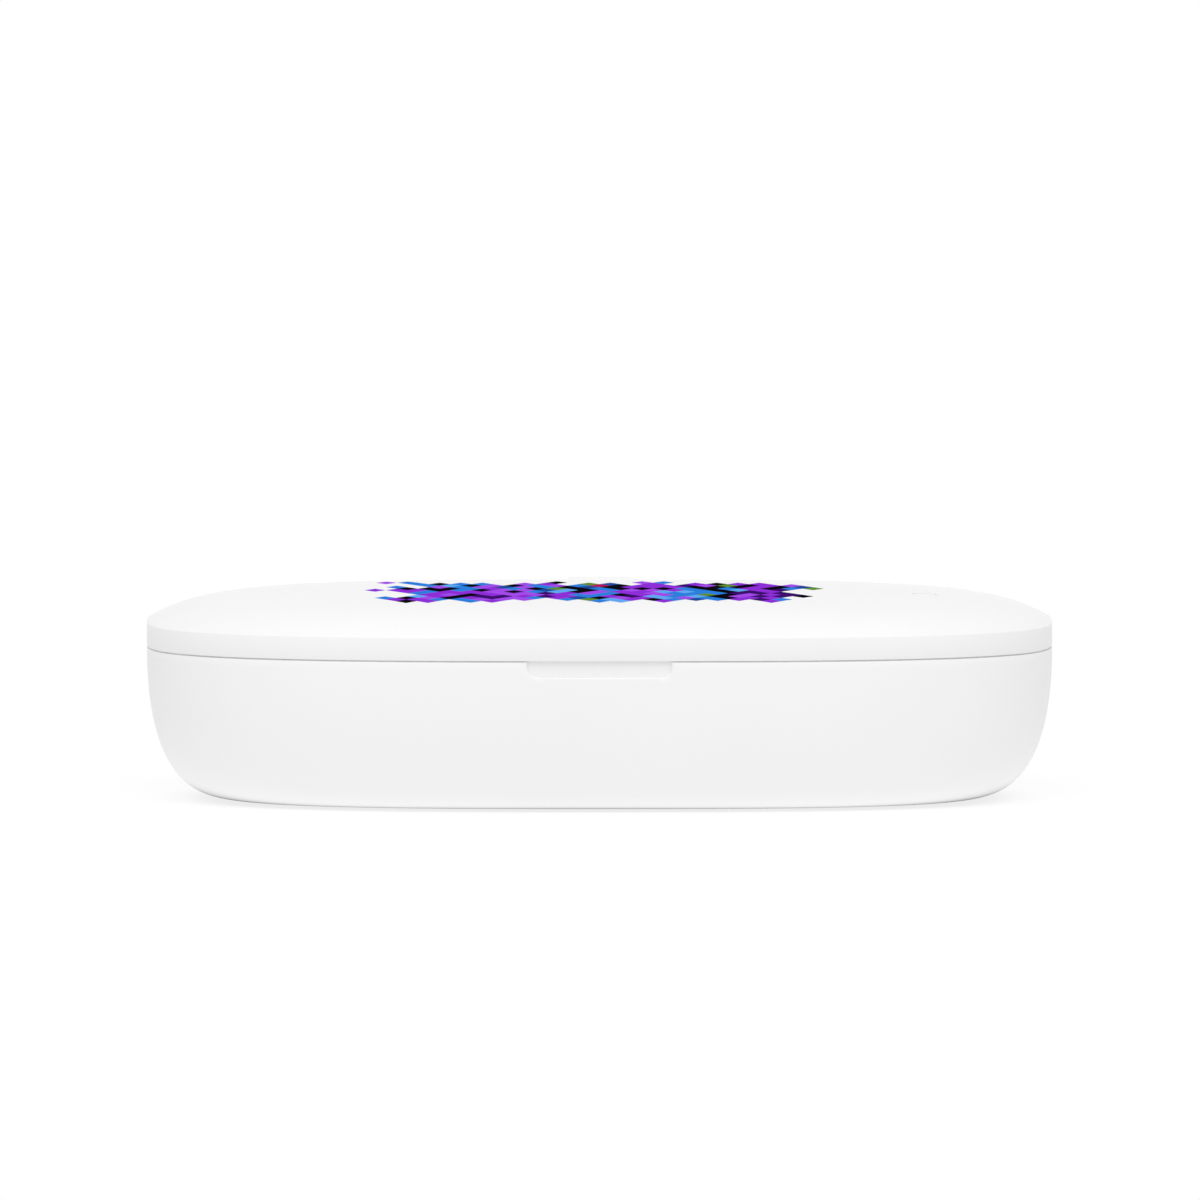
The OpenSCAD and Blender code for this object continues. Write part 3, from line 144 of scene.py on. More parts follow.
fade = {"Value": oval, "From Min": 1, "From Max": glow_end, "To Min": near_light, "To Max": far_light}
glow = add(tree, "ShaderNodeMapRange", fade).outputs[0]
uncovered = add(tree, "ShaderNodeMath", {0: clear.outputs[0], 1: glow}, operation="MULTIPLY").outputs[0]
thrown = add(tree, "ShaderNodeEmission", {"Color": (1, 1, 1, 1), "Strength": uncovered}).outputs[0]
by_camera = add(tree, "ShaderNodeLightPath").outputs["Is Camera Ray"]
surface = add(tree, "ShaderNodeMixShader", {0: by_camera, 1: thrown, 2: seen}).outputs[0]
add(tree, "ShaderNodeOutputMaterial", {"Surface": surface})

# ---------------------------------------------------------------- Base shell
# The deep outer moulding of the base, in white ABS from a finely grained tool. It carries the hinge's
# middle knuckle at the back, and has a thumb recess under its rim and the charging inlet's slot.

half_w, half_d, outline_power = 110 * MM, 62.5 * MM, 3
front_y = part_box("lid_shell")[0].y
middle_y = front_y + half_d
rim_z, underside_z, floor_z = 37.2 * MM, 0.6 * MM, 3 * MM
shell_wall = 2.4 * MM
# A rounded edge's middle lies about three tenths of its radius in from the corner
edge_r, turn_in = 0.15 * MM, 0.3


def alone(piece):
    """Makes a piece the only one selected."""
    bpy.ops.object.select_all(action="DESELECT")
    piece.select_set(True)
    bpy.context.view_layer.objects.active = piece


def stack(rings, power=outline_power, points=320, centre=(0, middle_y)):
    """A closed piece drawn through rings of half width, half depth and height. Power 2 gives ellipses, and
    more gives squarer ovals. Where the last ring is the first again, the piece closes to a ring."""
    bpy.ops.object.select_all(action="DESELECT")
    bpy.ops.mesh.primitive_circle_add(vertices=points, radius=1)
    piece = bpy.context.object
    for vertex in piece.data.vertices:
        x, y = vertex.co.xy
        stretch = (abs(x) ** power + abs(y) ** power) ** (-1 / power)
        half_x, half_y, z = rings[0]
        vertex.co = (centre[0] + half_x * x * stretch, centre[1] + half_y * y * stretch, z)
    bpy.ops.object.mode_set(mode="EDIT")
    bpy.ops.mesh.select_all(action="SELECT")
    for last, ring in zip(rings, rings[1:]):
        bpy.ops.mesh.extrude_region_move(TRANSFORM_OT_translate={"value": (0, 0, ring[2] - last[2])})
        growth = (ring[0] / last[0], ring[1] / last[1], 1)
        bpy.ops.transform.resize(value=growth, center_override=(*centre, 0))
    bpy.ops.mesh.select_all(action="SELECT")
    if rings[0] == rings[-1]:
        bpy.ops.mesh.remove_doubles(threshold=0.001 * MM)
    else:
        bpy.ops.mesh.fill_holes(sides=0)
    bpy.ops.mesh.select_all(action="SELECT")
    bpy.ops.mesh.normals_make_consistent(inside=False)
    bpy.ops.object.mode_set(mode="OBJECT")
    return piece


def bar(radius, start, end, sides=64):
    """A round bar from one point to another."""
    along = Vector(end) - Vector(start)
    bpy.ops.object.select_all(action="DESELECT")
    bpy.ops.mesh.primitive_cylinder_add(
        vertices=sides,
        radius=radius,
        depth=along.length,
        location=(Vector(start) + Vector(end)) / 2,
        rotation=along.to_track_quat("Z", "Y").to_euler(),
    )
    bpy.ops.object.transform_apply()
    return bpy.context.object


def block(low, high):
    """A block between two corners."""
    low, high = Vector(low), Vector(high)
    bpy.ops.object.select_all(action="DESELECT")
    bpy.ops.mesh.primitive_cube_add(size=1, location=(low + high) / 2, scale=high - low)
    bpy.ops.object.transform_apply()
    return bpy.context.object


def merge(pieces):
    """Joins objects into the first of them."""
    alone(pieces[0])
    for piece in pieces[1:]:
        piece.select_set(True)
    bpy.ops.object.transform_apply()
    if len(pieces) > 1:
        bpy.ops.object.join()
    return pieces[0]


def combine(piece, tools, operation):
    """Cuts shapes out of a piece, or fuses them on, or keeps what both fill, and takes them away."""
    tool = merge(tools)
    alone(piece)
    step = piece.modifiers.new(operation, "BOOLEAN")
    step.operation = operation
    step.solver = "MANIFOLD"
    step.object = tool
    bpy.ops.object.modifier_apply(modifier=step.name)
    bpy.data.objects.remove(tool)


def soften(piece, size, segments=2):
    """Rounds every edge of a plain solid that turns by more than 60 degrees."""
    alone(piece)
    step = piece.modifiers.new("soften", "BEVEL")
    step.width = size
    step.segments = segments
    step.limit_method = "ANGLE"
    step.angle_limit = math.radians(60)
    bpy.ops.object.modifier_apply(modifier=step.name)


def settle(piece, name, body, slot, material, *nodes, smooth=35):
    """Names a finished piece, gives it its material, and hands it to the body that it moves with."""
    piece.name = piece.data.name = name
    alone(piece)
    bpy.ops.object.transform_apply()
    bpy.ops.object.shade_smooth_by_angle(angle=math.radians(smooth))
    if material:
        piece.data.materials.clear()
        piece.data.materials.append(material)
    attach(piece, body)
    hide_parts(*nodes)


def linear(colour):
    """An sRGB hex colour as linear light."""
    parts = [int(colour[i : i + 2], 16) / 255 for i in (1, 3, 5)]
    return [c / 12.92 if c <= 0.04045 else ((c + 0.055) / 1.055) ** 2.4 for c in parts] + [1]


def tucked(wall, low_z):
    """Rings down the base's side, which draws in ever faster and rounds into the underside."""
    side_tuck, front_tuck, tuck_start, tuck_round, steps = 27.5 * MM, 19.25 * MM, 2.25, 3.7, 44
    rings = []
    for step in range(steps + 1):
        turn = math.pi / 2 * step / steps
        drawn_in = 1 - math.cos(turn) ** (2 / tuck_round)
        drop = math.sin(turn) ** (2 / tuck_start)
        half = (half_w - wall - side_tuck * drawn_in, half_d - wall - front_tuck * drawn_in)
        rings.append((*half, rim_z - drop * (rim_z - low_z)))
    return rings


def inset(distance, z):
    """A ring of the box's outline, moved in."""
    return (half_w - distance, half_d - distance, z)


# A low bead on the rim closes the seam behind its rolled edges
ledge_z, ledge_w, ledge_rib = 34.4 * MM, 1 * MM, 1.5 * MM
bead_out, bead_in, bead_h = 0.55 * MM, 1.4 * MM, 0.22 * MM
rim = [
    inset(0, rim_z - edge_r),
    inset(edge_r * turn_in, rim_z - edge_r * turn_in),
    inset(edge_r, rim_z),
    inset(bead_out, rim_z),
    inset(bead_out + edge_r / 2, rim_z + bead_h),
    inset(bead_in, rim_z + bead_h),
    inset(bead_in + edge_r / 2, rim_z),
    inset(shell_wall - edge_r, rim_z),
    inset(shell_wall, rim_z - edge_r),
    inset(shell_wall, ledge_z),
    inset(shell_wall + ledge_w, ledge_z),
    inset(shell_wall + ledge_w, ledge_z - ledge_rib),
]
hollow = [ring for ring in tucked(shell_wall, floor_z) if ring[2] < ledge_z - ledge_rib - ledge_w]
base_shell = stack(tucked(0, underside_z)[:0:-1] + rim + hollow)

# Hinge post: the middle knuckle on its web, which leaves the back wall half way up and starts at the
# wall's middle. The lead runs up through it into the hollow pin.
axis = Vector((0, 60, 43.1)) * MM
post_r, post_half = 6 * MM, Vector((7.7 * MM, 0, 0))
foot_y, foot_z, web_y, knuckle_round = 57.94 * MM, 22 * MM, 57.8 * MM, 0.3 * MM
web = bar(post_r, axis - post_half, axis + post_half, sides=128)
bpy.ops.object.mode_set(mode="EDIT")
foot = Vector((0, foot_y - MM / 2, foot_z + MM / 2))
bpy.ops.mesh.primitive_cube_add(size=1, location=foot, scale=(2 * post_half.x, MM, MM))
bpy.ops.mesh.select_all(action="SELECT")
bpy.ops.mesh.convex_hull()
bpy.ops.object.mode_set(mode="OBJECT")
ahead_low = (-2 * post_half.x, axis.y - 2 * post_r, foot_z - MM)
combine(web, [block(ahead_low, (2 * post_half.x, web_y, axis.z))], "DIFFERENCE")
middle_knuckle = bar(post_r, axis - post_half, axis + post_half, sides=128)
for part in (web, middle_knuckle):
    soften(part, knuckle_round)
    combine(base_shell, [part], "UNION")
pin_r, lead_r, lead_past = 2.6 * MM, 1.6 * MM, 1.08
lead_foot = axis - lead_past * Vector((0, 5.2, 13)) * MM
combine(base_shell, [bar(pin_r, axis - 2 * post_half, axis + 2 * post_half)], "DIFFERENCE")
combine(base_shell, [bar(lead_r, lead_foot, axis)], "DIFFERENCE")

# Thumb recess: a shallow pocket under the rim, with round lower corners and a rolled mouth
recess_half, recess_h, recess_depth, recess_r = 17.5 * MM, 3.75 * MM, 1.1 * MM, 2.75 * MM
roll, roll_steps, over = 0.4 * MM, 4, 1 * MM
low_z, high_z = rim_z - recess_h, rim_z + over
recess = block(
    (-recess_half, front_y + roll, low_z), (recess_half, front_y + recess_depth, high_z)
)
bpy.ops.object.mode_set(mode="EDIT")
bpy.ops.mesh.select_mode(type="EDGE")
bpy.ops.mesh.select_all(action="DESELECT")
bpy.ops.object.mode_set(mode="OBJECT")
for edge in recess.data.edges:
    ends = [recess.data.vertices[index].co for index in edge.vertices]
    edge.select = all(end.z < rim_z for end in ends) and abs(ends[0].x - ends[1].x) < over
bpy.ops.object.mode_set(mode="EDIT")
bpy.ops.mesh.bevel(offset=recess_r, segments=12, affect="EDGES")
bpy.ops.mesh.select_mode(type="FACE")
bpy.ops.mesh.select_all(action="DESELECT")
bpy.ops.object.mode_set(mode="OBJECT")
for face in recess.data.polygons:
    face.select = face.normal.y < -0.9
bpy.ops.object.mode_set(mode="EDIT")
wide, deep = 0, roll
for step in range(1, roll_steps + 2):
    turn = math.pi / 2 * min(step, roll_steps) / roll_steps
    wider = roll * (1 - math.cos(turn))
    next_deep = roll * (1 - math.sin(turn)) if step <= roll_steps else -over
    bpy.ops.mesh.extrude_region_move(TRANSFORM_OT_translate={"value": (0, next_deep - deep, 0)})
    growth = (
        (recess_half + wider) / (recess_half + wide),
        1,
        (high_z - low_z + wider) / (high_z - low_z + wide),
    )
    bpy.ops.transform.resize(value=growth, center_override=(0, 0, high_z))
    wide, deep = wider, next_deep
bpy.ops.mesh.select_mode(type="VERT")
bpy.ops.mesh.select_all(action="SELECT")
bpy.ops.mesh.normals_make_consistent(inside=False)
bpy.ops.object.mode_set(mode="OBJECT")
combine(base_shell, [recess], "DIFFERENCE")

# Inlet: a pad inside the wall, cut flat round the slot from outside
socket_low, socket_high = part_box("usb_socket")
inlet = Vector(((socket_low.x + socket_high.x) / 2, socket_high.y, (socket_low.z + socket_high.z) / 2))
inlet_w, inlet_h = socket_high.x - socket_low.x, socket_high.z - socket_low.z


def stadium(grow, start_y, end_y):
    """The inlet's long rounded outline, grown, as a solid between two depths."""
    radius, shift = inlet_h / 2 + grow, (inlet_w - inlet_h) / 2
    piece = bar(radius, (inlet.x, start_y, inlet.z), (inlet.x, end_y, inlet.z), sides=48)
    for vertex in piece.data.vertices:
        vertex.co.x += shift if vertex.co.x > inlet.x else -shift
    return piece


flat_edge, slot_gap, past_wall = 2 * MM, 0.3 * MM, 10 * MM
pad_t, pad_out, pad_side, pad_below, pad_above = 2 * MM, 0.3 * MM, 3.2 * MM, 2.63 * MM, 4.83 * MM
pad = block(
    (inlet.x - inlet_w / 2 - pad_side, inlet.y - pad_t, inlet.z - pad_below),
    (inlet.x + inlet_w / 2 + pad_side, inlet.y + pad_out, inlet.z + pad_above),
)
for vertex in pad.data.vertices:
    if vertex.co.y > inlet.y and vertex.co.z > inlet.z:
        vertex.co.y += shell_wall / 2
combine(base_shell, [pad], "UNION")
combine(base_shell, [stadium(flat_edge, inlet.y, inlet.y + past_wall)], "DIFFERENCE")
combine(base_shell, [stadium(slot_gap, inlet.y - past_wall - pad_t, inlet.y + past_wall)], "DIFFERENCE")

# Screw bosses over the feet, with the feet's recesses, and standoffs for the main board
foot_xs, foot_ys, foot_r = (-58 * MM, 58 * MM), (-31.5 * MM, 24.5 * MM), 6 * MM
foot_places = [Vector((x, y, 0)) for x in foot_xs for y in foot_ys]
recess_z, head_z, boss_z = 1.6 * MM, 3.4 * MM, 5 * MM
foot_boss_r, foot_gap, board_boss_r = 3.6 * MM, 0.1 * MM, 2.2 * MM
head_hole_r, shank_hole_r, thread_r = 2.8 * MM, 1.45 * MM, 0.82 * MM
up = Vector((0, 0, 1))


def bars(radius, places, low_z, high_z):
    """Upright bars of one radius at several places."""
    return [bar(radius, place + up * low_z, place + up * high_z) for place in places]


board_low, board_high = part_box("main_board")
screw_inset = 3 * MM
board_screws = [
    Vector((x, y, 0))
    for x in (board_low.x + screw_inset, board_high.x - screw_inset)
    for y in (board_low.y + screw_inset, board_high.y - screw_inset)
]
combine(base_shell, bars(foot_boss_r, foot_places, recess_z, boss_z), "UNION")
combine(base_shell, bars(board_boss_r, board_screws, floor_z - MM, board_low.z), "UNION")
combine(base_shell, bars(foot_r + foot_gap, foot_places, -MM, recess_z), "DIFFERENCE")
combine(base_shell, bars(head_hole_r, foot_places, 0, head_z), "DIFFERENCE")
combine(base_shell, bars(shank_hole_r, foot_places, 0, boss_z + MM), "DIFFERENCE")
combine(base_shell, bars(thread_r, board_screws, floor_z - MM, board_low.z + MM), "DIFFERENCE")


def shader_inputs(material):
    """The sockets of a material's shader."""
    return material.node_tree.nodes["Principled BSDF"].inputs


def grained(name, dark, light, grain, gloss, depth, drift=30, metallic=0):
    """A material whose colour drifts slowly between two, in patches of many grains. The grain, of a
    given size, breaks its gloss, between two roughnesses, and its surface, to a depth."""
    material = bpy.data.materials.new(name)
    material.use_nodes = True
    tree, shader = material.node_tree, shader_inputs(material)
    shader["Metallic"].default_value = metallic
    spot = add(tree, "ShaderNodeTexCoord").outputs["Object"]
    slow = add(tree, "ShaderNodeTexNoise", {"Vector": spot, "Scale": 1 / (grain * drift), "Detail": 2})
    shades = {0: slow.outputs[0], "A": linear(dark), "B": linear(light)}
    tint = add(tree, "ShaderNodeMix", shades, data_type="RGBA").outputs["Result"]
    fine = add(tree, "ShaderNodeTexNoise", {"Vector": spot, "Scale": 1 / grain, "Detail": 3}).outputs[0]
    spread = {"Value": fine, "From Min": 0.3, "From Max": 0.7, "To Min": gloss[0], "To Max": gloss[1]}
    rough = add(tree, "ShaderNodeMapRange", spread).outputs[0]
    bump = add(tree, "ShaderNodeBump", {"Height": fine, "Strength": 0.4, "Distance": depth}).outputs[0]
    tree.links.new(tint, shader["Base Color"])
    tree.links.new(rough, shader["Roughness"])
    tree.links.new(bump, shader["Normal"])
    return material


white_specular = 0.27


def white_abs(name):
    """White ABS from a spark-eroded tool: a soft sheen, broken by a shallow grain of half a millimetre."""
    material = grained(name, "#F2F2F2", "#F5F5F5", 0.5 * MM, (0.38, 0.52), 0.06 * MM, drift=90)
    shader_inputs(material)["Specular IOR Level"].default_value = white_specular
    return material


plain_abs = white_abs("abs_white_grained")
settle(base_shell, "base_shell_moulding", "base", "white_shell", plain_abs, "base_shell")

# ---------------------------------------------------------------- Lid shell
# The lid's outer moulding, in the same white ABS: a straight band under a nearly flat crown, with the
# two outer knuckles of the hinge, screw posts, the key's hole, and the printed pattern on top.

lid_z, band_z, crown_h, crown_power = 37.5 * MM, 43.1 * MM, 7 * MM, 9.3
panel_z, panel_top = 37.9 * MM, 39.9 * MM
lid_rim = 1.6 * MM


def crown_at(x, y, wall=0):
    """Height of the crown's skin over a point, moved in by a wall."""
    across, along = abs(x / (half_w - wall)), abs((y - middle_y) / (half_d - wall))
    radius = (across**outline_power + along**outline_power) ** (1 / outline_power)
    return band_z - wall + crown_h * (1 - radius**crown_power)


def crown(wall):
    """Rings up the crown's skin, moved in by a wall. They crowd where it bends, near its edge."""
    drawn_share, crowding, steps = 0.95, 1.7, 44
    rings = []
    for step in range(steps + 1):
        share = 1 - drawn_share * (step / steps) ** crowding
        height = band_z - wall + crown_h * (1 - share**crown_power)
        rings.append((share * (half_w - wall), share * (half_d - wall), height))
    return rings


# The crease between band and crown is rounded from a little below it to a little above
crease_low, crease_share, crease_gap, crease_steps = 0.12 * MM, 0.9945, 0.002, 7
crease_high = crown_h * (1 - crease_share**crown_power)
crease = []
for step in range(crease_steps + 1):
    turn = step / crease_steps
    share = 1 - (1 - crease_share) * turn**2
    height = band_z - crease_low * (1 - turn) ** 2 + crease_high * turn**2
    crease.append((share * half_w, share * half_d, height))
seat = [
    inset(shell_wall, panel_top),
    inset(lid_rim, panel_top),
    inset(lid_rim, lid_z + edge_r),
    inset(lid_rim - edge_r, lid_z),
    inset(edge_r, lid_z),
    inset(edge_r * turn_in, lid_z + edge_r * turn_in),
    inset(0, lid_z + edge_r),
]
over_crease = [ring for ring in crown(0) if ring[0] < (crease_share - crease_gap) * half_w]
lid_shell = stack(crown(shell_wall)[::-1] + seat + crease + over_crease)

# Saddle round the pocket for the base's knuckle, then the pocket itself
side_x, pocket_r, saddle_front = 8.1 * MM, 6.4 * MM, 51 * MM
saddle_side, saddle_rear, skin_middle = 12.1 * MM, 57.8 * MM, 1.2 * MM
saddle = block((-saddle_side, saddle_front, panel_z), (saddle_side, saddle_rear, band_z))
for vertex in saddle.data.vertices:
    if vertex.co.z > panel_top:
        vertex.co.z = crown_at(0, vertex.co.y) - skin_middle
pocket_half = Vector((side_x, 0, 0))
combine(lid_shell, [saddle], "UNION")
combine(lid_shell, [bar(pocket_r, axis - pocket_half, axis + pocket_half, sides=128)], "DIFFERENCE")
pocket_low = (-side_x, axis.y - pocket_r, lid_z - MM)
combine(lid_shell, [block(pocket_low, (side_x, axis.y + pocket_r, axis.z))], "DIFFERENCE")


def turned(profile, points, centre=(0, 0)):
    """A round piece, turned from a profile of radii and heights."""
    return stack([(r, r, z) for r, z in profile], 2, points, centre)


# Two knuckles, like bullets that lie along the hinge's axis, each with a tiny flat at its tip
knuckle_r, straight, end_r, knuckle_l = 5.55 * MM, 8.7 * MM, 4.75 * MM, 17.4 * MM
nose_steps, tip_share = 16, 0.01
profile = [
    (knuckle_r - knuckle_round, 0),
    (knuckle_r - knuckle_round * turn_in, knuckle_round * turn_in),
    (knuckle_r, knuckle_round),
]
for step in range(nose_steps + 1):
    turn = math.pi / 2 * step / nose_steps
    shrunk = max(math.cos(turn), tip_share)
    profile.append((end_r * shrunk, straight + (knuckle_l - straight) * math.sin(turn)))
for side in (-1, 1):
    knuckle = turned(profile, 128)
    knuckle.rotation_euler = (0, side * math.pi / 2, 0)
    knuckle.location = axis + side * pocket_half
    combine(lid_shell, [knuckle], "UNION")

# Screw posts and the key's boss, which end inside the skin
screw_places = [Vector((x, y, 0)) for x in (-45 * MM, 45 * MM) for y in (-59.4 * MM, 52.4 * MM)]
screw_places += [Vector((x, middle_y, 0)) for x in (-101.4 * MM, 101.4 * MM)]
post_bar_r, pilot_r, pilot_top = 3 * MM, 1.27 * MM, 43.5 * MM
key = Vector((79, -9.5, 0)) * MM
flange_drop, flange_gap, flange_r, key_gap, key_r = 0.2 * MM, 0.1 * MM, 3.9 * MM, 0.25 * MM, 2.8 * MM
flange_top = crown_at(key.x, key.y, shell_wall) - flange_drop
crown_top = band_z + crown_h
key_boss = bars(flange_r, [key], flange_top + flange_gap, crown_top)
posts = merge(bars(post_bar_r, screw_places, panel_top, crown_top) + key_boss)
combine(posts, [stack([inset(skin_middle, panel_top - MM)] + crown(skin_middle))], "INTERSECT")
combine(lid_shell, [posts], "UNION")
combine(lid_shell, bars(pilot_r, screw_places, panel_top - MM, pilot_top), "DIFFERENCE")
combine(lid_shell, bars(key_r + key_gap, [key], panel_top, crown_top + MM), "DIFFERENCE")
combine(lid_shell, bars(flange_r + key_gap, [key], panel_top, flange_top + flange_gap), "DIFFERENCE")

# The pin's bore, with the lead's way out of it
bore_r, bore_end, lead_x, lead_l = 2.65 * MM, 17.4 * MM, 18.2 * MM, 9 * MM
bore = bar(bore_r, axis - Vector((bore_end, 0, 0)), axis + Vector((lead_x + lead_r, 0, 0)))
combine(lid_shell, [bore], "DIFFERENCE")
way_out = axis + Vector((lead_x, 0, 0))
combine(lid_shell, [bar(lead_r, way_out - Vector((0, lead_l, 0)), way_out)], "DIFFERENCE")

# The print, ink on the white ABS: small diamonds in patches of violet, blue and green with black and
# magenta among them, which thin out towards the sides. Ink is duller than the bare grain.
printed = white_abs("abs_white_grained_printed")
tree, shader = printed.node_tree, shader_inputs(printed)
plain_white = shader["Base Color"].links[0].from_socket
spot = add(tree, "ShaderNodeTexCoord").outputs["Object"]
diamond_w, diamond_d, print_y, print_above = 5.2 * MM, 10.5 * MM, middle_y - 2.8 * MM, 48.5 * MM
full_x, end_x, full_y, end_y = 42 * MM, 57 * MM, 24 * MM, 34.5 * MM
patch_scale, patch_share, chance_share, hue_shift = 0.17, 1.7, 0.42, -0.6

# Each diamond of the slanted grid has its own chance, and its hue also follows the patch it is in
place = add(tree, "ShaderNodeSeparateXYZ", {0: spot}).outputs
sideways = add(tree, "ShaderNodeMath", {0: place["X"], 1: diamond_w}, operation="DIVIDE").outputs[0]
slants = []
for slope in (1 / diamond_d, -1 / diamond_d):
    slanted = add(tree, "ShaderNodeMath", {0: place["Y"], 1: slope, 2: sideways}, operation="MULTIPLY_ADD")
    slants.append(add(tree, "ShaderNodeMath", {0: slanted.outputs[0]}, operation="FLOOR").outputs[0])
rising, falling = slants
diamond = add(tree, "ShaderNodeCombineXYZ", {"X": rising, "Y": falling}).outputs[0]
chance = add(tree, "ShaderNodeTexWhiteNoise", {"Vector": diamond}).outputs
patch = add(tree, "ShaderNodeTexNoise", {"Vector": diamond, "Scale": patch_scale, "Detail": 1}).outputs[0]
drift = add(tree, "ShaderNodeMath", {0: patch, 1: patch_share, 2: hue_shift}, operation="MULTIPLY_ADD")
mixture = {0: chance["Value"], 1: chance_share, 2: drift.outputs[0]}
hue = add(tree, "ShaderNodeMath", mixture, operation="MULTIPLY_ADD").outputs[0]
inks = add(tree, "ShaderNodeValToRGB", {"Fac": hue})
inks.color_ramp.interpolation = "CONSTANT"
palette = [
    (0.00, "#3C0F6E"),
    (0.14, "#8E2FD8"),
    (0.32, "#A24BEA"),
    (0.40, "#0C0A12"),
    (0.47, "#2C7FDD"),
    (0.60, "#5FA8F2"),
    (0.66, "#0C0A12"),
    (0.71, "#1B4A9C"),
    (0.78, "#5F8F2A"),
    (0.90, "#B0145F"),
]
stops = inks.color_ramp.elements
for index, (position, colour) in enumerate(palette):
    stop = stops[index] if index < 2 else stops.new(position)
    stop.position, stop.color = position, linear(colour)

# A diamond is inked unless its chance falls short of how far its middle lies out towards an end
ends = []
for way, size, shift, full, bare in (
    ("ADD", diamond_w, diamond_w / 2, full_x, end_x),
    ("SUBTRACT", diamond_d, -print_y, full_y, end_y),
):
    count = add(tree, "ShaderNodeMath", {0: rising, 1: falling}, operation=way).outputs[0]
    middle = add(tree, "ShaderNodeMath", {0: count, 1: size / 2, 2: shift}, operation="MULTIPLY_ADD")
    off = add(tree, "ShaderNodeMath", {0: middle.outputs[0]}, operation="ABSOLUTE").outputs[0]
    thinned = add(tree, "ShaderNodeMapRange", {"Value": off, "From Min": full, "From Max": bare})
    ends.append(thinned.outputs[0])
outwards = add(tree, "ShaderNodeMath", {0: ends[0], 1: ends[1]}, operation="MAXIMUM").outputs[0]
luck = add(tree, "ShaderNodeSeparateColor", {0: chance["Color"]}).outputs["Blue"]
kept = add(tree, "ShaderNodeMath", {0: luck, 1: outwards}, operation="GREATER_THAN").outputs[0]
on_top = add(tree, "ShaderNodeMath", {0: place["Z"], 1: print_above}, operation="GREATER_THAN").outputs[0]
inked = add(tree, "ShaderNodeMath", {0: kept, 1: on_top}, operation="MULTIPLY").outputs[0]
layers = {0: inked, "A": plain_white, "B": inks.outputs[0]}
colour = add(tree, "ShaderNodeMix", layers, data_type="RGBA").outputs["Result"]
dulled = {0: inked, 1: -white_specular, 2: white_specular}
sheen = add(tree, "ShaderNodeMath", dulled, operation="MULTIPLY_ADD").outputs[0]
tree.links.new(colour, shader["Base Color"])
tree.links.new(sheen, shader["Specular IOR Level"])
settle(lid_shell, "lid_shell_moulding", "lid", "white_shell", printed, "lid_shell", smooth=30)

# ---------------------------------------------------------------- Power key
# A round cap of the lid's white ABS, flush with the crown and just as slightly sloped. Its flange
# holds it in the lid from below, and its stem stands on the switch.

stem_foot, stem_r, flange_t, key_round = 45.7 * MM, 1.3 * MM, 0.8 * MM, 0.2 * MM
bevel, key_sunk = 0.1 * MM, 0.03 * MM
key_top = crown_at(key.x, key.y) - key_sunk
profile = [
    (stem_r - bevel, stem_foot),
    (stem_r, stem_foot + bevel),
    (stem_r, flange_top - flange_t),
    (flange_r - bevel, flange_top - flange_t),
    (flange_r, flange_top - flange_t + bevel),
    (flange_r, flange_top - bevel),
    (flange_r - bevel, flange_top),
    (key_r, flange_top),
    (key_r, key_top - key_round),
    (key_r - key_round * turn_in, key_top - key_round * turn_in),
    (key_r - key_round, key_top),
    (stem_r, key_top),
]
power_button = turned(profile, 96, key.xy)
slope = (crown_at(key.x + key_r, key.y) - crown_at(key.x - key_r, key.y)) / (2 * key_r)
for vertex in power_button.data.vertices:
    if vertex.co.z > flange_top + bevel:
        vertex.co.z += slope * (vertex.co.x - key.x)
key_abs = white_abs("abs_white_key")
settle(power_button, "power_key_cap", "power_key", "white_shell", key_abs, "power_button")

# ---------------------------------------------------------------- Base liner
# The inner moulding, in light grey ABS: a flange that lies on the shell's ledge, and the tub of the
# phone chamber, with rounded corners, windows in its floor and a groove for the seal.

flange_z, ledge_gap, tub_z, chamber_z, liner_t = 36.4 * MM, 0.15 * MM, 11 * MM, 13 * MM, 2 * MM
mouth, mouth_r = Vector((94, 47)) * MM, 0.6 * MM
draft, chamber_power, fillet = 4 * MM, 6, 3 * MM


def chamber(z, grow):
    """A ring of the chamber, which narrows downwards, moved out or in."""
    lean = draft * (flange_z - z) / (flange_z - chamber_z)
    return (mouth.x - lean + grow, mouth.y - lean + grow, z)


def bowl(low_z, top_z, grow, corner):
    """Rings up the inside or outside of the tub, from its floor round the corner to a height."""
    steps = 8
    rings = []
    for step in range(steps + 1):
        turn = math.pi / 2 * step / steps
        z = low_z + corner * (1 - math.cos(turn))
        rings.append(chamber(z, grow - corner * (1 - math.sin(turn))))
    return rings + [chamber(top_z, grow)]


flange_edge = shell_wall + ledge_gap
base_liner = stack([
    inset(flange_edge + edge_r, ledge_z),
    inset(flange_edge, ledge_z + edge_r),
    inset(flange_edge, flange_z - 2 * edge_r),
    inset(flange_edge + 2 * edge_r * turn_in, flange_z - 2 * edge_r * turn_in),
    inset(flange_edge + 2 * edge_r, flange_z),
])
tub = stack(bowl(tub_z, ledge_z + MM, liner_t, fillet), chamber_power)
combine(base_liner, [tub], "UNION")

# The chamber, which opens in a rounded mouth
cavity, mouth_steps = bowl(chamber_z, flange_z, 0, fillet)[:-1], 5
for step in range(mouth_steps + 1):
    turn = math.pi / 2 * step / mouth_steps
    out, drop = mouth_r * (1 - math.cos(turn)), mouth_r * (1 - math.sin(turn))
    half_x, half_y, z = chamber(flange_z - drop, 0)
    cavity.append((half_x + out, half_y + out, z))
cavity.append((half_x + out, half_y + out, flange_z + MM))
combine(base_liner, [stack(cavity, chamber_power)], "DIFFERENCE")

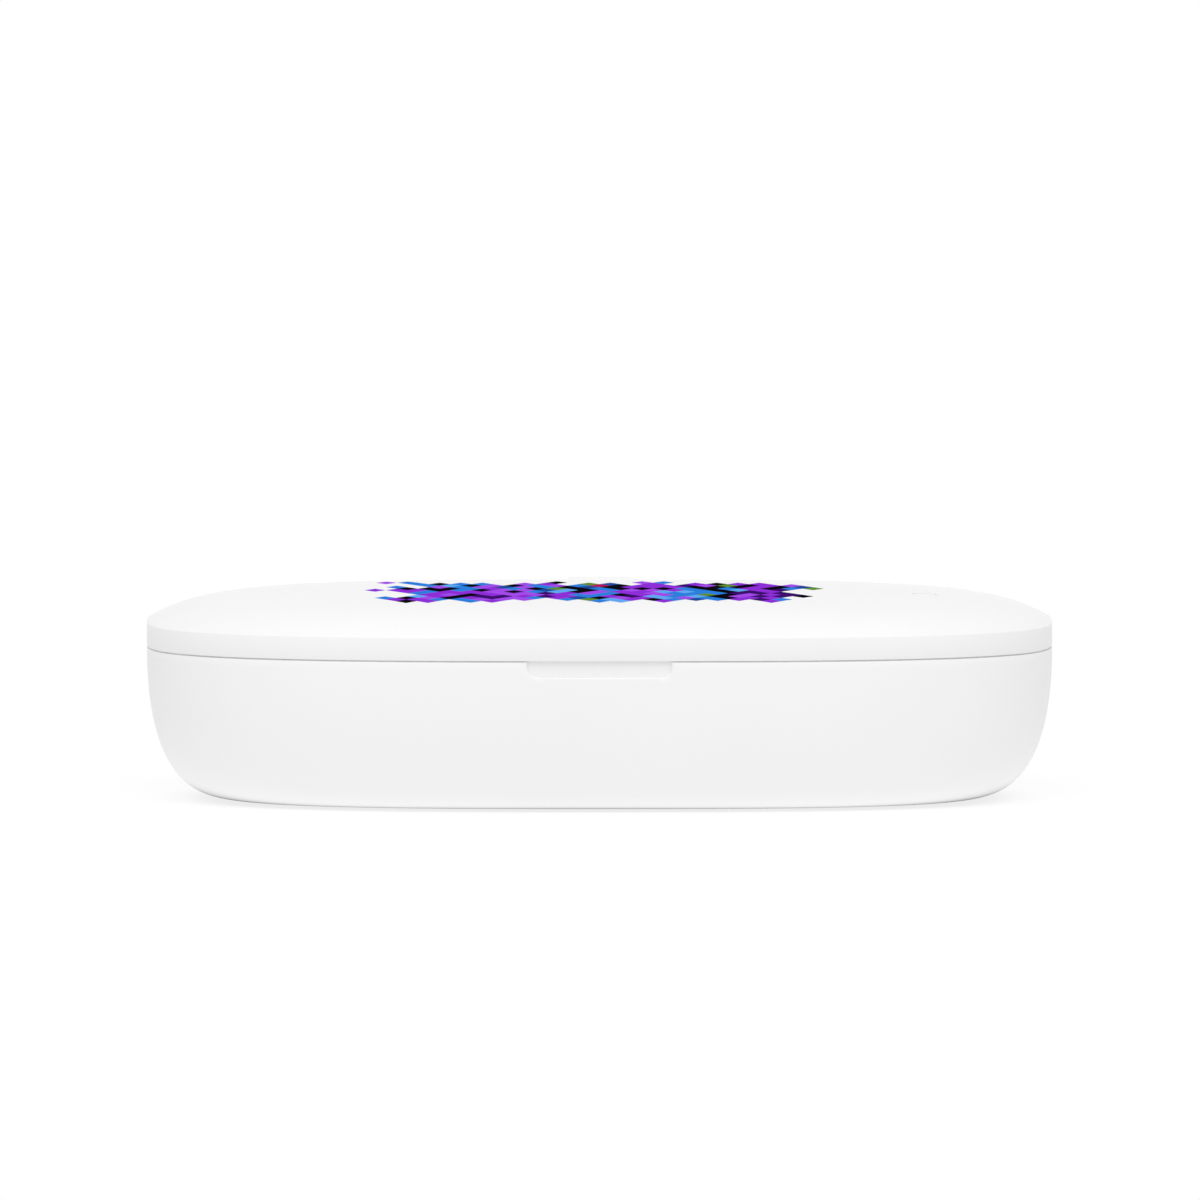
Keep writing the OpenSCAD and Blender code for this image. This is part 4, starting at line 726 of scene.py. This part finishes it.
# Bosses for the screws from below, ribs for the lamp board, and rings for the magnets
lamp_places = [Vector((x, middle_y, 0)) for x in (-54 * MM, -18 * MM, 18 * MM, 54 * MM)]
lamp_screws = [Vector((x, middle_y, 0)) for x in (-36 * MM, 36 * MM)]
magnet_low, magnet_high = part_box("base_magnets")
magnet_y = (magnet_low.y + magnet_high.y) / 2
magnet_places = [Vector((x, magnet_y, 0)) for x in (-25 * MM, 25 * MM)]
rib_half, rib_y, rib_w, rib_h = 58 * MM, 4.8 * MM, 1.2 * MM, 1.3 * MM
magnet_ring_r, magnet_hole_r, pilot_l = 3.35 * MM, 2.55 * MM, 7.6 * MM
window_seat_r, window_hole_r = 4 * MM, 3.25 * MM


def lamp_ribs(width, low_z, high_z):
    """The two ribs under a lamp board, with its screws' bosses."""
    ribs = []
    for y in (middle_y - rib_y, middle_y + rib_y):
        low = (-rib_half, y - width / 2, low_z)
        ribs.append(block(low, (rib_half, y + width / 2, high_z)))
    return ribs + bars(board_boss_r, lamp_screws, low_z, high_z)


foot_bosses = bars(foot_boss_r, foot_places, boss_z, tub_z + MM)
for part in lamp_ribs(rib_w, tub_z - rib_h, tub_z + MM) + foot_bosses:
    combine(base_liner, [part], "UNION")
combine(base_liner, bars(magnet_ring_r, magnet_places, magnet_low.z, flange_z - MM / 2), "UNION")
combine(base_liner, bars(pilot_r, foot_places, head_z, head_z + pilot_l), "DIFFERENCE")
combine(base_liner, bars(magnet_hole_r, magnet_places, magnet_low.z - MM, magnet_high.z), "DIFFERENCE")
combine(base_liner, bars(window_seat_r, lamp_places, tub_z - MM, tub_z + MM), "DIFFERENCE")
combine(base_liner, bars(window_hole_r, lamp_places, tub_z, chamber_z + MM), "DIFFERENCE")
combine(base_liner, bars(thread_r, lamp_screws, tub_z - 2 * rib_h, tub_z + MM), "DIFFERENCE")

# Notch for the lead in the flange's back edge
notch = 2.6 * MM
notch_low = (-notch, middle_y + half_d - shell_wall - notch, tub_z)
combine(base_liner, [block(notch_low, (notch, middle_y + half_d, flange_z + MM))], "DIFFERENCE")

# Groove for the seal
seal_half, seal_w, seal_power, groove = Vector((99, 52)) * MM, 1.6 * MM, 4.6, 0.6 * MM


def seal_ring(out, z):
    """A ring of the seal's line, moved out or in."""
    return (seal_half.x + out, seal_half.y + out, z)


groove_half = seal_w / 2 + 0.05 * MM
cut = [
    seal_ring(groove_half, flange_z - groove),
    seal_ring(groove_half, flange_z + MM),
    seal_ring(-groove_half, flange_z + MM),
    seal_ring(-groove_half, flange_z - groove),
    seal_ring(groove_half, flange_z - groove),
]
combine(base_liner, [stack(cut, seal_power)], "DIFFERENCE")


def grey_abs(name):
    """Light grey ABS, duller and more finely grained than the shell's, so that the inside reads as a
    part of its own."""
    return grained(name, "#DADCDD", "#E2E4E4", 0.35 * MM, (0.45, 0.6), 0.02 * MM, drift=90)


settle(base_liner, "chamber_tub", "base", "inner_plastic", grey_abs("abs_light_grey"), "base_liner")

# ---------------------------------------------------------------- Seal
# A moulded ring of light grey silicone, pressed into the flange's groove, which keeps the lamps' light
# in. Its round top stands just off the lid.

seal_top, seal_r, seal_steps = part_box("rim_gasket")[1].z, seal_w / 2, 12
rings = [seal_ring(seal_r, flange_z - groove)]
for step in range(seal_steps + 1):
    turn = math.pi * step / seal_steps
    rings.append(seal_ring(seal_r * math.cos(turn), seal_top - seal_r * (1 - math.sin(turn))))
rings += [seal_ring(-seal_r, flange_z - groove), seal_ring(seal_r, flange_z - groove)]
seal = stack(rings, seal_power)
# Matt silicone, which lets a little light in under its skin
silicone = grained("silicone_matt_grey", "#B4B8BA", "#BEC2C3", 0.4 * MM, (0.55, 0.75), 0.01 * MM)
shader_inputs(silicone)["Subsurface Weight"].default_value = 0.25
shader_inputs(silicone)["Subsurface Scale"].default_value = 0.8 * MM
settle(seal, "silicone_seal", "base", "silicone", silicone, "rim_gasket")

# ---------------------------------------------------------------- Base reflector
# A thin bowl of polished aluminium, glued into the tub, with a hole over each window. Its edge is
# turned a little, so that it catches the light as a fine line.

sheet_gap, sheet_t, sheet_top, bend = 0.05 * MM, 0.4 * MM, 34 * MM, 0.1 * MM
outside = bowl(chamber_z + sheet_gap, sheet_top - bend, -sheet_gap, fillet)
inside = bowl(chamber_z + sheet_gap + sheet_t, sheet_top - bend, -sheet_gap - sheet_t, fillet - sheet_t)
brim = [chamber(sheet_top, -sheet_gap - bend), chamber(sheet_top, -sheet_gap - sheet_t + bend)]
base_reflector = stack(outside + brim + inside[::-1], chamber_power)
combine(base_reflector, bars(window_hole_r, lamp_places, chamber_z - MM, chamber_z + MM), "DIFFERENCE")

# Rolled and polished aluminium sheet: near a mirror, with the roller's faint long streaks and the slow
# waves of thin sheet, which bend what it mirrors
streak_w, stretch, wave_w, wave_h = 0.4 * MM, 25, 22 * MM, 0.3 * MM
polished = grained(
    "aluminium_polished", "#D4D7DA", "#DFE1E3", 2 * MM, (0.1, 0.16), 0.002 * MM, metallic=1
)
tree, shader = polished.node_tree, shader_inputs(polished)
spot = add(tree, "ShaderNodeTexCoord").outputs["Object"]
squeezed = add(tree, "ShaderNodeMapping", {"Vector": spot, "Scale": (1 / stretch, 1, 1)}).outputs[0]
streaks = add(tree, "ShaderNodeTexNoise", {"Vector": squeezed, "Scale": 1 / streak_w, "Detail": 3})
rough = add(tree, "ShaderNodeMapRange", {"Value": streaks.outputs[0], "To Min": 0.08, "To Max": 0.24})
waves = add(tree, "ShaderNodeTexNoise", {"Vector": spot, "Scale": 1 / wave_w, "Detail": 1}).outputs[0]
wavy = add(tree, "ShaderNodeBump", {"Height": waves, "Strength": 0.5, "Distance": wave_h}).outputs[0]
tree.links.new(rough.outputs[0], shader["Roughness"])
tree.links.new(wavy, shader["Normal"])
settle(base_reflector, "reflector_bowl", "base", "reflector", polished, "base_reflector", smooth=50)

# ---------------------------------------------------------------- Windows and lamps of the base
# Four quartz discs close the reflector's holes from below. Under each stands a UV lamp: a white
# ceramic package with a cup, and the lamp's gold-plated chip in it.

window_r, window_t = 3.95 * MM, 1 * MM


def windows(low_z):
    """The four discs at a height, with slightly rounded edges."""
    profile = [
        (window_r - edge_r, low_z),
        (window_r - edge_r * turn_in, low_z + edge_r * turn_in),
        (window_r, low_z + edge_r),
        (window_r, low_z + window_t - edge_r),
        (window_r - edge_r * turn_in, low_z + window_t - edge_r * turn_in),
        (window_r - edge_r, low_z + window_t),
    ]
    return merge([turned(profile, 64, place.xy) for place in lamp_places])


# Fused quartz: clear and colourless, with a faint lapping haze that stops it looking empty
quartz = grained("quartz_lapped", "#F0F4F8", "#FFFFFF", 0.6 * MM, (0.02, 0.07), 0.001 * MM)
shader_inputs(quartz)["IOR"].default_value = 1.46
shader_inputs(quartz)["Transmission Weight"].default_value = 1
settle(windows(tub_z), "base_window_discs", "base", "quartz", quartz, "base_windows")

package_half, package_h, package_round = 1.75 * MM, 1.2 * MM, 0.12 * MM
cup_r, cup_depth = 1.25 * MM, 0.5 * MM
chip_half, chip_h, chip_round = 0.5 * MM, 0.2 * MM, 0.04 * MM


def packages(foot_z, aim_z):
    """The four lamp packages on their board at a height, which shine up (1) or down (-1), and their
    chips."""
    bodies, chips = [], []
    for place in lamp_places:
        top = place + up * (foot_z + aim_z * package_h)
        low_z, high_z = sorted((foot_z, top.z))
        low = (place.x - package_half, place.y - package_half, low_z)
        body = block(low, (place.x + package_half, place.y + package_half, high_z))
        soften(body, package_round)
        cup = bar(cup_r, top - up * aim_z * cup_depth, top + up * aim_z * MM, sides=48)
        combine(body, [cup], "DIFFERENCE")
        bodies.append(body)
        low_z, high_z = sorted((top.z - aim_z * cup_depth, top.z - aim_z * (cup_depth - chip_h)))
        low = (place.x - chip_half, place.y - chip_half, low_z)
        chip = block(low, (place.x + chip_half, place.y + chip_half, high_z))
        soften(chip, chip_round)
        chips.append(chip)
    return merge(bodies), merge(chips)


# Sintered alumina, matt and faintly warm
alumina = grained("alumina_sintered", "#E4DFD3", "#EFEBE2", 0.15 * MM, (0.5, 0.7), 0.01 * MM)
# Gold plating, which glints yellow behind the quartz
gold = grained("chip_gold_plated", "#D9B15C", "#E8C878", 0.1 * MM, (0.2, 0.4), 0.004 * MM, metallic=1)
lamps, chips = packages(tub_z - rib_h, 1)
settle(lamps, "base_lamp_packages", "base", "lamp_ceramic", alumina, "base_uv_leds")
settle(chips, "base_lamp_chips", "base", "lamp_ceramic", gold)

# ---------------------------------------------------------------- Phone rack
# A clear acrylic frame with eight ribs, which lies in the chamber and holds the phone off the
# reflector. All its edges are flame-polished, so they are round.

rest_low, rest_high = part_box("phone_rest")
rack_w, rack_h, rack_rib_half, rack_rib_x, rack_r = 3 * MM, 1.6 * MM, 0.7 * MM, 9 * MM, 0.45 * MM
rack = block(rest_low, (rest_high.x, rest_high.y, rest_low.z + rack_h))
inner_low = (rest_low.x + rack_w, rest_low.y + rack_w, rest_low.z - MM)
inner_high = (rest_high.x - rack_w, rest_high.y - rack_w, rest_high.z)
combine(rack, [block(inner_low, inner_high)], "DIFFERENCE")
soften(rack, rack_r, segments=3)
for place in lamp_places:
    for x in (place.x - rack_rib_x, place.x + rack_rib_x):
        low = (x - rack_rib_half, rest_low.y, rest_low.z)
        rib = block(low, (x + rack_rib_half, rest_high.y, rest_high.z))
        soften(rib, rack_r, segments=3)
        combine(rack, [rib], "UNION")

# Clear acrylic, a shade cool at its edges, with polishing haze
acrylic = grained("acrylic_clear_polished", "#E6F2F7", "#F6FBFD", 1.5 * MM, (0.03, 0.09), 0.002 * MM)
shader_inputs(acrylic)["IOR"].default_value = 1.49
shader_inputs(acrylic)["Transmission Weight"].default_value = 1
settle(rack, "acrylic_rack", "base", "clear_plastic", acrylic, "phone_rest")

# ---------------------------------------------------------------- Feet
# Four moulded feet of light grey rubber, glued into recesses over the screws. Each has a rounded edge
# and a shallow hollow in the middle of its sole.

foot_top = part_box("feet")[1].z
profile = [
    (2.6 * MM, 0.35 * MM),
    (3 * MM, 0.05 * MM),
    (3.4 * MM, 0),
    (foot_r - 0.4 * MM, 0),
    (foot_r - 0.12 * MM, 0.12 * MM),
    (foot_r, 0.4 * MM),
    (foot_r, foot_top),
]
feet = merge([turned(profile, 96, place.xy) for place in foot_places])
# Rubber, dull all over, with a coarse dusty skin
rubber = grained("rubber_light_grey", "#A2A4A6", "#ACAEB0", 0.25 * MM, (0.75, 0.95), 0.03 * MM)
settle(feet, "rubber_feet", "base", "foot_rubber", rubber, "feet")

# ---------------------------------------------------------------- Charging inlet
# The shell of a USB-C inlet, drawn from thin steel, which ends in the slot of the base's back wall. In
# it stands a moulded black tongue with gold-plated contacts.

socket_t, socket_round, tongue_round = 0.3 * MM, 0.08 * MM, 0.1 * MM
socket = stadium(0, socket_low.y, socket_high.y)
soften(socket, socket_round)
combine(socket, [stadium(-socket_t, socket_low.y + socket_t, socket_high.y + MM)], "DIFFERENCE")
# Stainless steel with the fine marks of drawing and tumbling, greyer than the aluminium
steel = grained(
    "stainless_steel_tumbled", "#B4B6B9", "#C6C8CA", 0.2 * MM, (0.24, 0.42), 0.004 * MM, metallic=1
)
settle(socket, "inlet_shell", "base", "steel", steel, "usb_socket")

tongue_low, tongue_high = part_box("usb_tongue")
tongue = block(tongue_low, tongue_high)
soften(tongue, tongue_round)
# Black glass-filled nylon, with a dull, slightly mottled skin
nylon = grained("nylon_black_glass_filled", "#161618", "#222225", 0.15 * MM, (0.4, 0.6), 0.01 * MM)
settle(tongue, "inlet_tongue", "base", "dark_parts", nylon, "usb_tongue")

contact_count, pitch, contact_half, proud, contact_round = 12, 0.5 * MM, 0.12 * MM, 0.03 * MM, 0.02 * MM
contact_back, contact_front = tongue_high.y - 3.6 * MM, tongue_high.y - 0.5 * MM
contacts = []
for index in range(contact_count):
    x = inlet.x + (index - (contact_count - 1) / 2) * pitch
    low = (x - contact_half, contact_back, tongue_low.z - proud)
    contact = block(low, (x + contact_half, contact_front, tongue_high.z + proud))
    soften(contact, contact_round)
    contacts.append(contact)
settle(merge(contacts), "inlet_contacts", "base", "copper", gold)

# ---------------------------------------------------------------- Lid liner
# The lid's inner panel, in the base liner's grey ABS, with a lip that nests in the chamber's mouth as
# a light trap. Six countersunk screws hold it to the shell.

panel_gap, panel_round, lip_gap = 0.15 * MM, 2 * edge_r, 0.8 * MM
panel_edge, lip_z, lip_wall, lip_r, lip_steps = lid_rim + panel_gap, 35.5 * MM, 1.6 * MM, 0.5 * MM, 5
lid_liner = stack([
    inset(panel_edge + panel_round, panel_z),
    inset(panel_edge + panel_round * turn_in, panel_z + panel_round * turn_in),
    inset(panel_edge, panel_z + panel_round),
    inset(panel_edge, panel_top - edge_r),
    inset(panel_edge + edge_r, panel_top),
])
lip_half = Vector(chamber(lip_z, -lip_gap)[:2])


def lip_ring(depth, z):
    """A ring of the lip, moved in from its outside."""
    return (lip_half.x - depth, lip_half.y - depth, z)


rings = [lip_ring(0, panel_z + MM)]
for corner, start in ((lip_r, 0), (lip_wall - lip_r, 90)):
    for step in range(lip_steps + 1):
        turn = math.radians(start + 90 * step / lip_steps)
        rings.append(lip_ring(corner - lip_r * math.cos(turn), lip_z + lip_r * (1 - math.sin(turn))))
rings += [lip_ring(lip_wall, panel_z + MM), lip_ring(0, panel_z + MM)]
combine(lid_liner, [stack(rings, chamber_power)], "UNION")

# Ribs under the lamp board, and bosses under the control board
control_low, control_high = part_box("control_board")
control_screws = [
    Vector((x, y, 0))
    for x, y in (
        (control_low.x + screw_inset, control_low.y + screw_inset),
        (control_high.x - screw_inset, control_high.y - screw_inset),
    )
]
lid_rib_w = 1.4 * MM
for part in lamp_ribs(lid_rib_w, panel_top - MM, panel_top + rib_h):
    combine(lid_liner, [part], "UNION")
combine(lid_liner, bars(board_boss_r, control_screws, panel_top - MM, control_low.z), "UNION")

# Room for the saddle and the knuckles
room = 0.15 * MM
saddle_low = (-saddle_side - room, saddle_front - room, panel_z - MM)
combine(lid_liner, [block(saddle_low, (saddle_side + room, axis.y, panel_top + MM))], "DIFFERENCE")
knuckle_end = side_x + knuckle_l + room
bite = math.sqrt(knuckle_r**2 - (axis.z - panel_top) ** 2) + room
knuckle_low = (-knuckle_end, axis.y - bite, panel_z - MM)
combine(lid_liner, [block(knuckle_low, (knuckle_end, axis.y, panel_top + MM))], "DIFFERENCE")

# Seats and holes for windows, magnets and screws. The screws' seats have a small bevel round them.
window_z, magnet_z, seat_bevel = panel_top - window_t, panel_z + 0.8 * MM, 0.3 * MM
combine(lid_liner, bars(window_seat_r, lamp_places, window_z, panel_top + 2 * MM), "DIFFERENCE")
combine(lid_liner, bars(window_hole_r, lamp_places, panel_z - MM, window_z + MM / 2), "DIFFERENCE")
combine(lid_liner, bars(magnet_hole_r, magnet_places, magnet_z, panel_top + MM), "DIFFERENCE")
combine(lid_liner, bars(shank_hole_r, screw_places, panel_z, panel_top + MM), "DIFFERENCE")
profile = [
    (head_hole_r + seat_bevel + MM, panel_z - MM),
    (head_hole_r, panel_z + seat_bevel),
    (head_hole_r, panel_z + MM),
]
for place in screw_places:
    combine(lid_liner, [turned(profile, 64, place.xy)], "DIFFERENCE")
combine(lid_liner, bars(thread_r, lamp_screws + control_screws, panel_top - MM, crown_top), "DIFFERENCE")
panel_abs = grey_abs("abs_light_grey_panel")
settle(lid_liner, "lid_panel", "lid", "inner_plastic", panel_abs, "lid_liner")

# ---------------------------------------------------------------- Lid reflector
# A flat sheet of the same polished aluminium, stamped with a hole over each window and glued to the
# panel within its lip.

sheet_low, sheet_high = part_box("lid_reflector")
half_x, half_y = sheet_high.x, (sheet_high.y - sheet_low.y) / 2
rings = [
    (half_x - bend, half_y - bend, sheet_low.z),
    (half_x, half_y, sheet_low.z + bend),
    (half_x, half_y, sheet_high.z - bend),
    (half_x - bend, half_y - bend, sheet_high.z),
]
sheet = stack(rings, chamber_power)
combine(sheet, bars(window_hole_r, lamp_places, sheet_low.z - MM, sheet_high.z + MM), "DIFFERENCE")
settle(sheet, "reflector_sheet", "lid", "reflector", polished, "lid_reflector", smooth=50)

# ---------------------------------------------------------------- Windows and lamps of the lid
# The same quartz discs and ceramic lamps as in the base, four of each. The discs are set into the panel
# from above, and the lamps shine down through them.

settle(windows(window_z), "lid_window_discs", "lid", "quartz", quartz, "lid_windows")
lamps, chips = packages(panel_top + rib_h, -1)
settle(lamps, "lid_lamp_packages", "lid", "lamp_ceramic", alumina, "lid_uv_leds")
settle(chips, "lid_lamp_chips", "lid", "lamp_ceramic", gold)

# ---------------------------------------------------------------- Panel screws
# Six steel screws with flat heads and cross recesses, driven up through the panel into the shell's
# posts. They sink a hair into the panel, and each stands as it happened to be driven.

head_low, head_r, head_h, shank_r, shank_top = 38 * MM, 2.6 * MM, 0.9 * MM, 1.25 * MM, 42.9 * MM
profile = [
    (head_r - 0.3 * MM, head_low),
    (head_r - 0.08 * MM, head_low + 0.06 * MM),
    (head_r, head_low + 0.25 * MM),
    (head_r, head_low + head_h),
    (shank_r, head_low + head_h),
    (shank_r, shank_top - 0.5 * MM),
    (shank_r / 2, shank_top),
]
arm_half, arm_wide, arm_depth, driven_by = 1.5 * MM, 0.3 * MM, 0.65 * MM, math.radians(37)
screws = []
for index, place in enumerate(screw_places):
    screw = turned(profile, 64, place.xy)
    driven = driven_by * index
    for quarter in (0, math.pi / 2):
        arm = block((-arm_half, -arm_wide, -MM), (arm_half, arm_wide, arm_depth))
        arm.rotation_euler = (0, 0, driven + quarter)
        arm.location = place + up * head_low
        combine(screw, [arm], "DIFFERENCE")
    screws.append(screw)
settle(merge(screws), "panel_screws", "lid", "steel", steel, "lid_screws")

# ---------------------------------------------------------------- Parts inside the walls
# Boards, coil, magnets, leads and the screws that no view reaches keep their own solids. Each gets the
# finish of what it's made of.

# Green solder mask over fibreglass: a soft gloss, and paler tracks of copper at right angles under it.
# The pitch and the edges of the tracks are shares of the maze's width.
green_mask = grained("fibreglass_green_mask", "#0F5A38", "#15683F", 0.3 * MM, (0.25, 0.4), 0.004 * MM)
tree, shader = green_mask.node_tree, shader_inputs(green_mask)
bare_mask = shader["Base Color"].links[0].from_socket
spot = add(tree, "ShaderNodeTexCoord").outputs["Object"]
maze_w, track_pitch, track_start, track_end = 3.2 * MM, 0.22, 0.15, 0.17
cells = {"Vector": spot, "Scale": 1 / maze_w}
maze = add(tree, "ShaderNodeTexVoronoi", cells, distance="CHEBYCHEV", feature="F2").outputs["Distance"]
tracks = add(tree, "ShaderNodeMath", {0: maze, 1: track_pitch}, operation="PINGPONG").outputs[0]
raised = add(tree, "ShaderNodeMapRange", {"Value": tracks, "From Min": track_start, "From Max": track_end})
layers = {0: raised.outputs[0], "A": bare_mask, "B": linear("#2F8A5C")}
colour = add(tree, "ShaderNodeMix", layers, data_type="RGBA").outputs["Result"]
tree.links.new(colour, shader["Base Color"])

# Enamelled copper wire: fine rings of wound turns, round the coil's own middle. The wave's rings lie
# ring_unit / Scale apart.
wound = grained(
    "copper_wire_enamelled", "#A8551F", "#C06A2E", 0.3 * MM, (0.25, 0.4), 0.002 * MM, metallic=1
)
tree, shader = wound.node_tree, shader_inputs(wound)
spot = add(tree, "ShaderNodeTexCoord").outputs["Object"]
wire_w, wire_h, ring_unit = 0.7 * MM, 0.2 * MM, 0.314
coil_middle = Vector((0, middle_y, 0))
centred = add(tree, "ShaderNodeVectorMath", {0: spot, 1: coil_middle}, operation="SUBTRACT").outputs[0]
wave = {"Vector": centred, "Scale": ring_unit / wire_w, "Distortion": 0.1}
turns = add(tree, "ShaderNodeTexWave", wave, wave_type="RINGS", rings_direction="Z").outputs["Fac"]
wires = add(tree, "ShaderNodeBump", {"Height": turns, "Strength": 1, "Distance": wire_h}).outputs[0]
tree.links.new(wires, shader["Normal"])

# Pressed ferrite: dark, dull and speckled
ferrite = grained("ferrite_pressed", "#252527", "#343436", 0.2 * MM, (0.6, 0.85), 0.01 * MM)
# Nickel plating over the magnets: warm, bright and slightly uneven
nickel = grained(
    "magnet_nickel_plated", "#CFC8BA", "#DAD4C8", 0.6 * MM, (0.14, 0.26), 0.003 * MM, metallic=1
)
# Black PVC sleeve of the leads, smoother than the nylon
sleeve = grained("lead_sleeve_black_pvc", "#131314", "#1C1C1E", 0.4 * MM, (0.3, 0.45), 0.006 * MM)

finishes = {
    green_mask: ("main_board", "control_board", "base_led_board", "lid_led_board"),
    wound: ("charging_coil",),
    ferrite: ("ferrite_sheet",),
    nickel: ("base_magnets", "lid_magnets"),
    sleeve: ("hinge_lead_base", "hinge_lead_lid"),
    nylon: ("board_parts", "control_parts", "tact_switch"),
    steel: ("hinge_tube", "base_screws", "board_screws", "lid_board_screws", "switch_plunger"),
    grey_abs("abs_light_grey_tray"): ("coil_carrier",),
}
for material, nodes in finishes.items():
    for node in nodes:
        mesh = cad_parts[node].data
        mesh.materials.clear()
        mesh.materials.append(material)
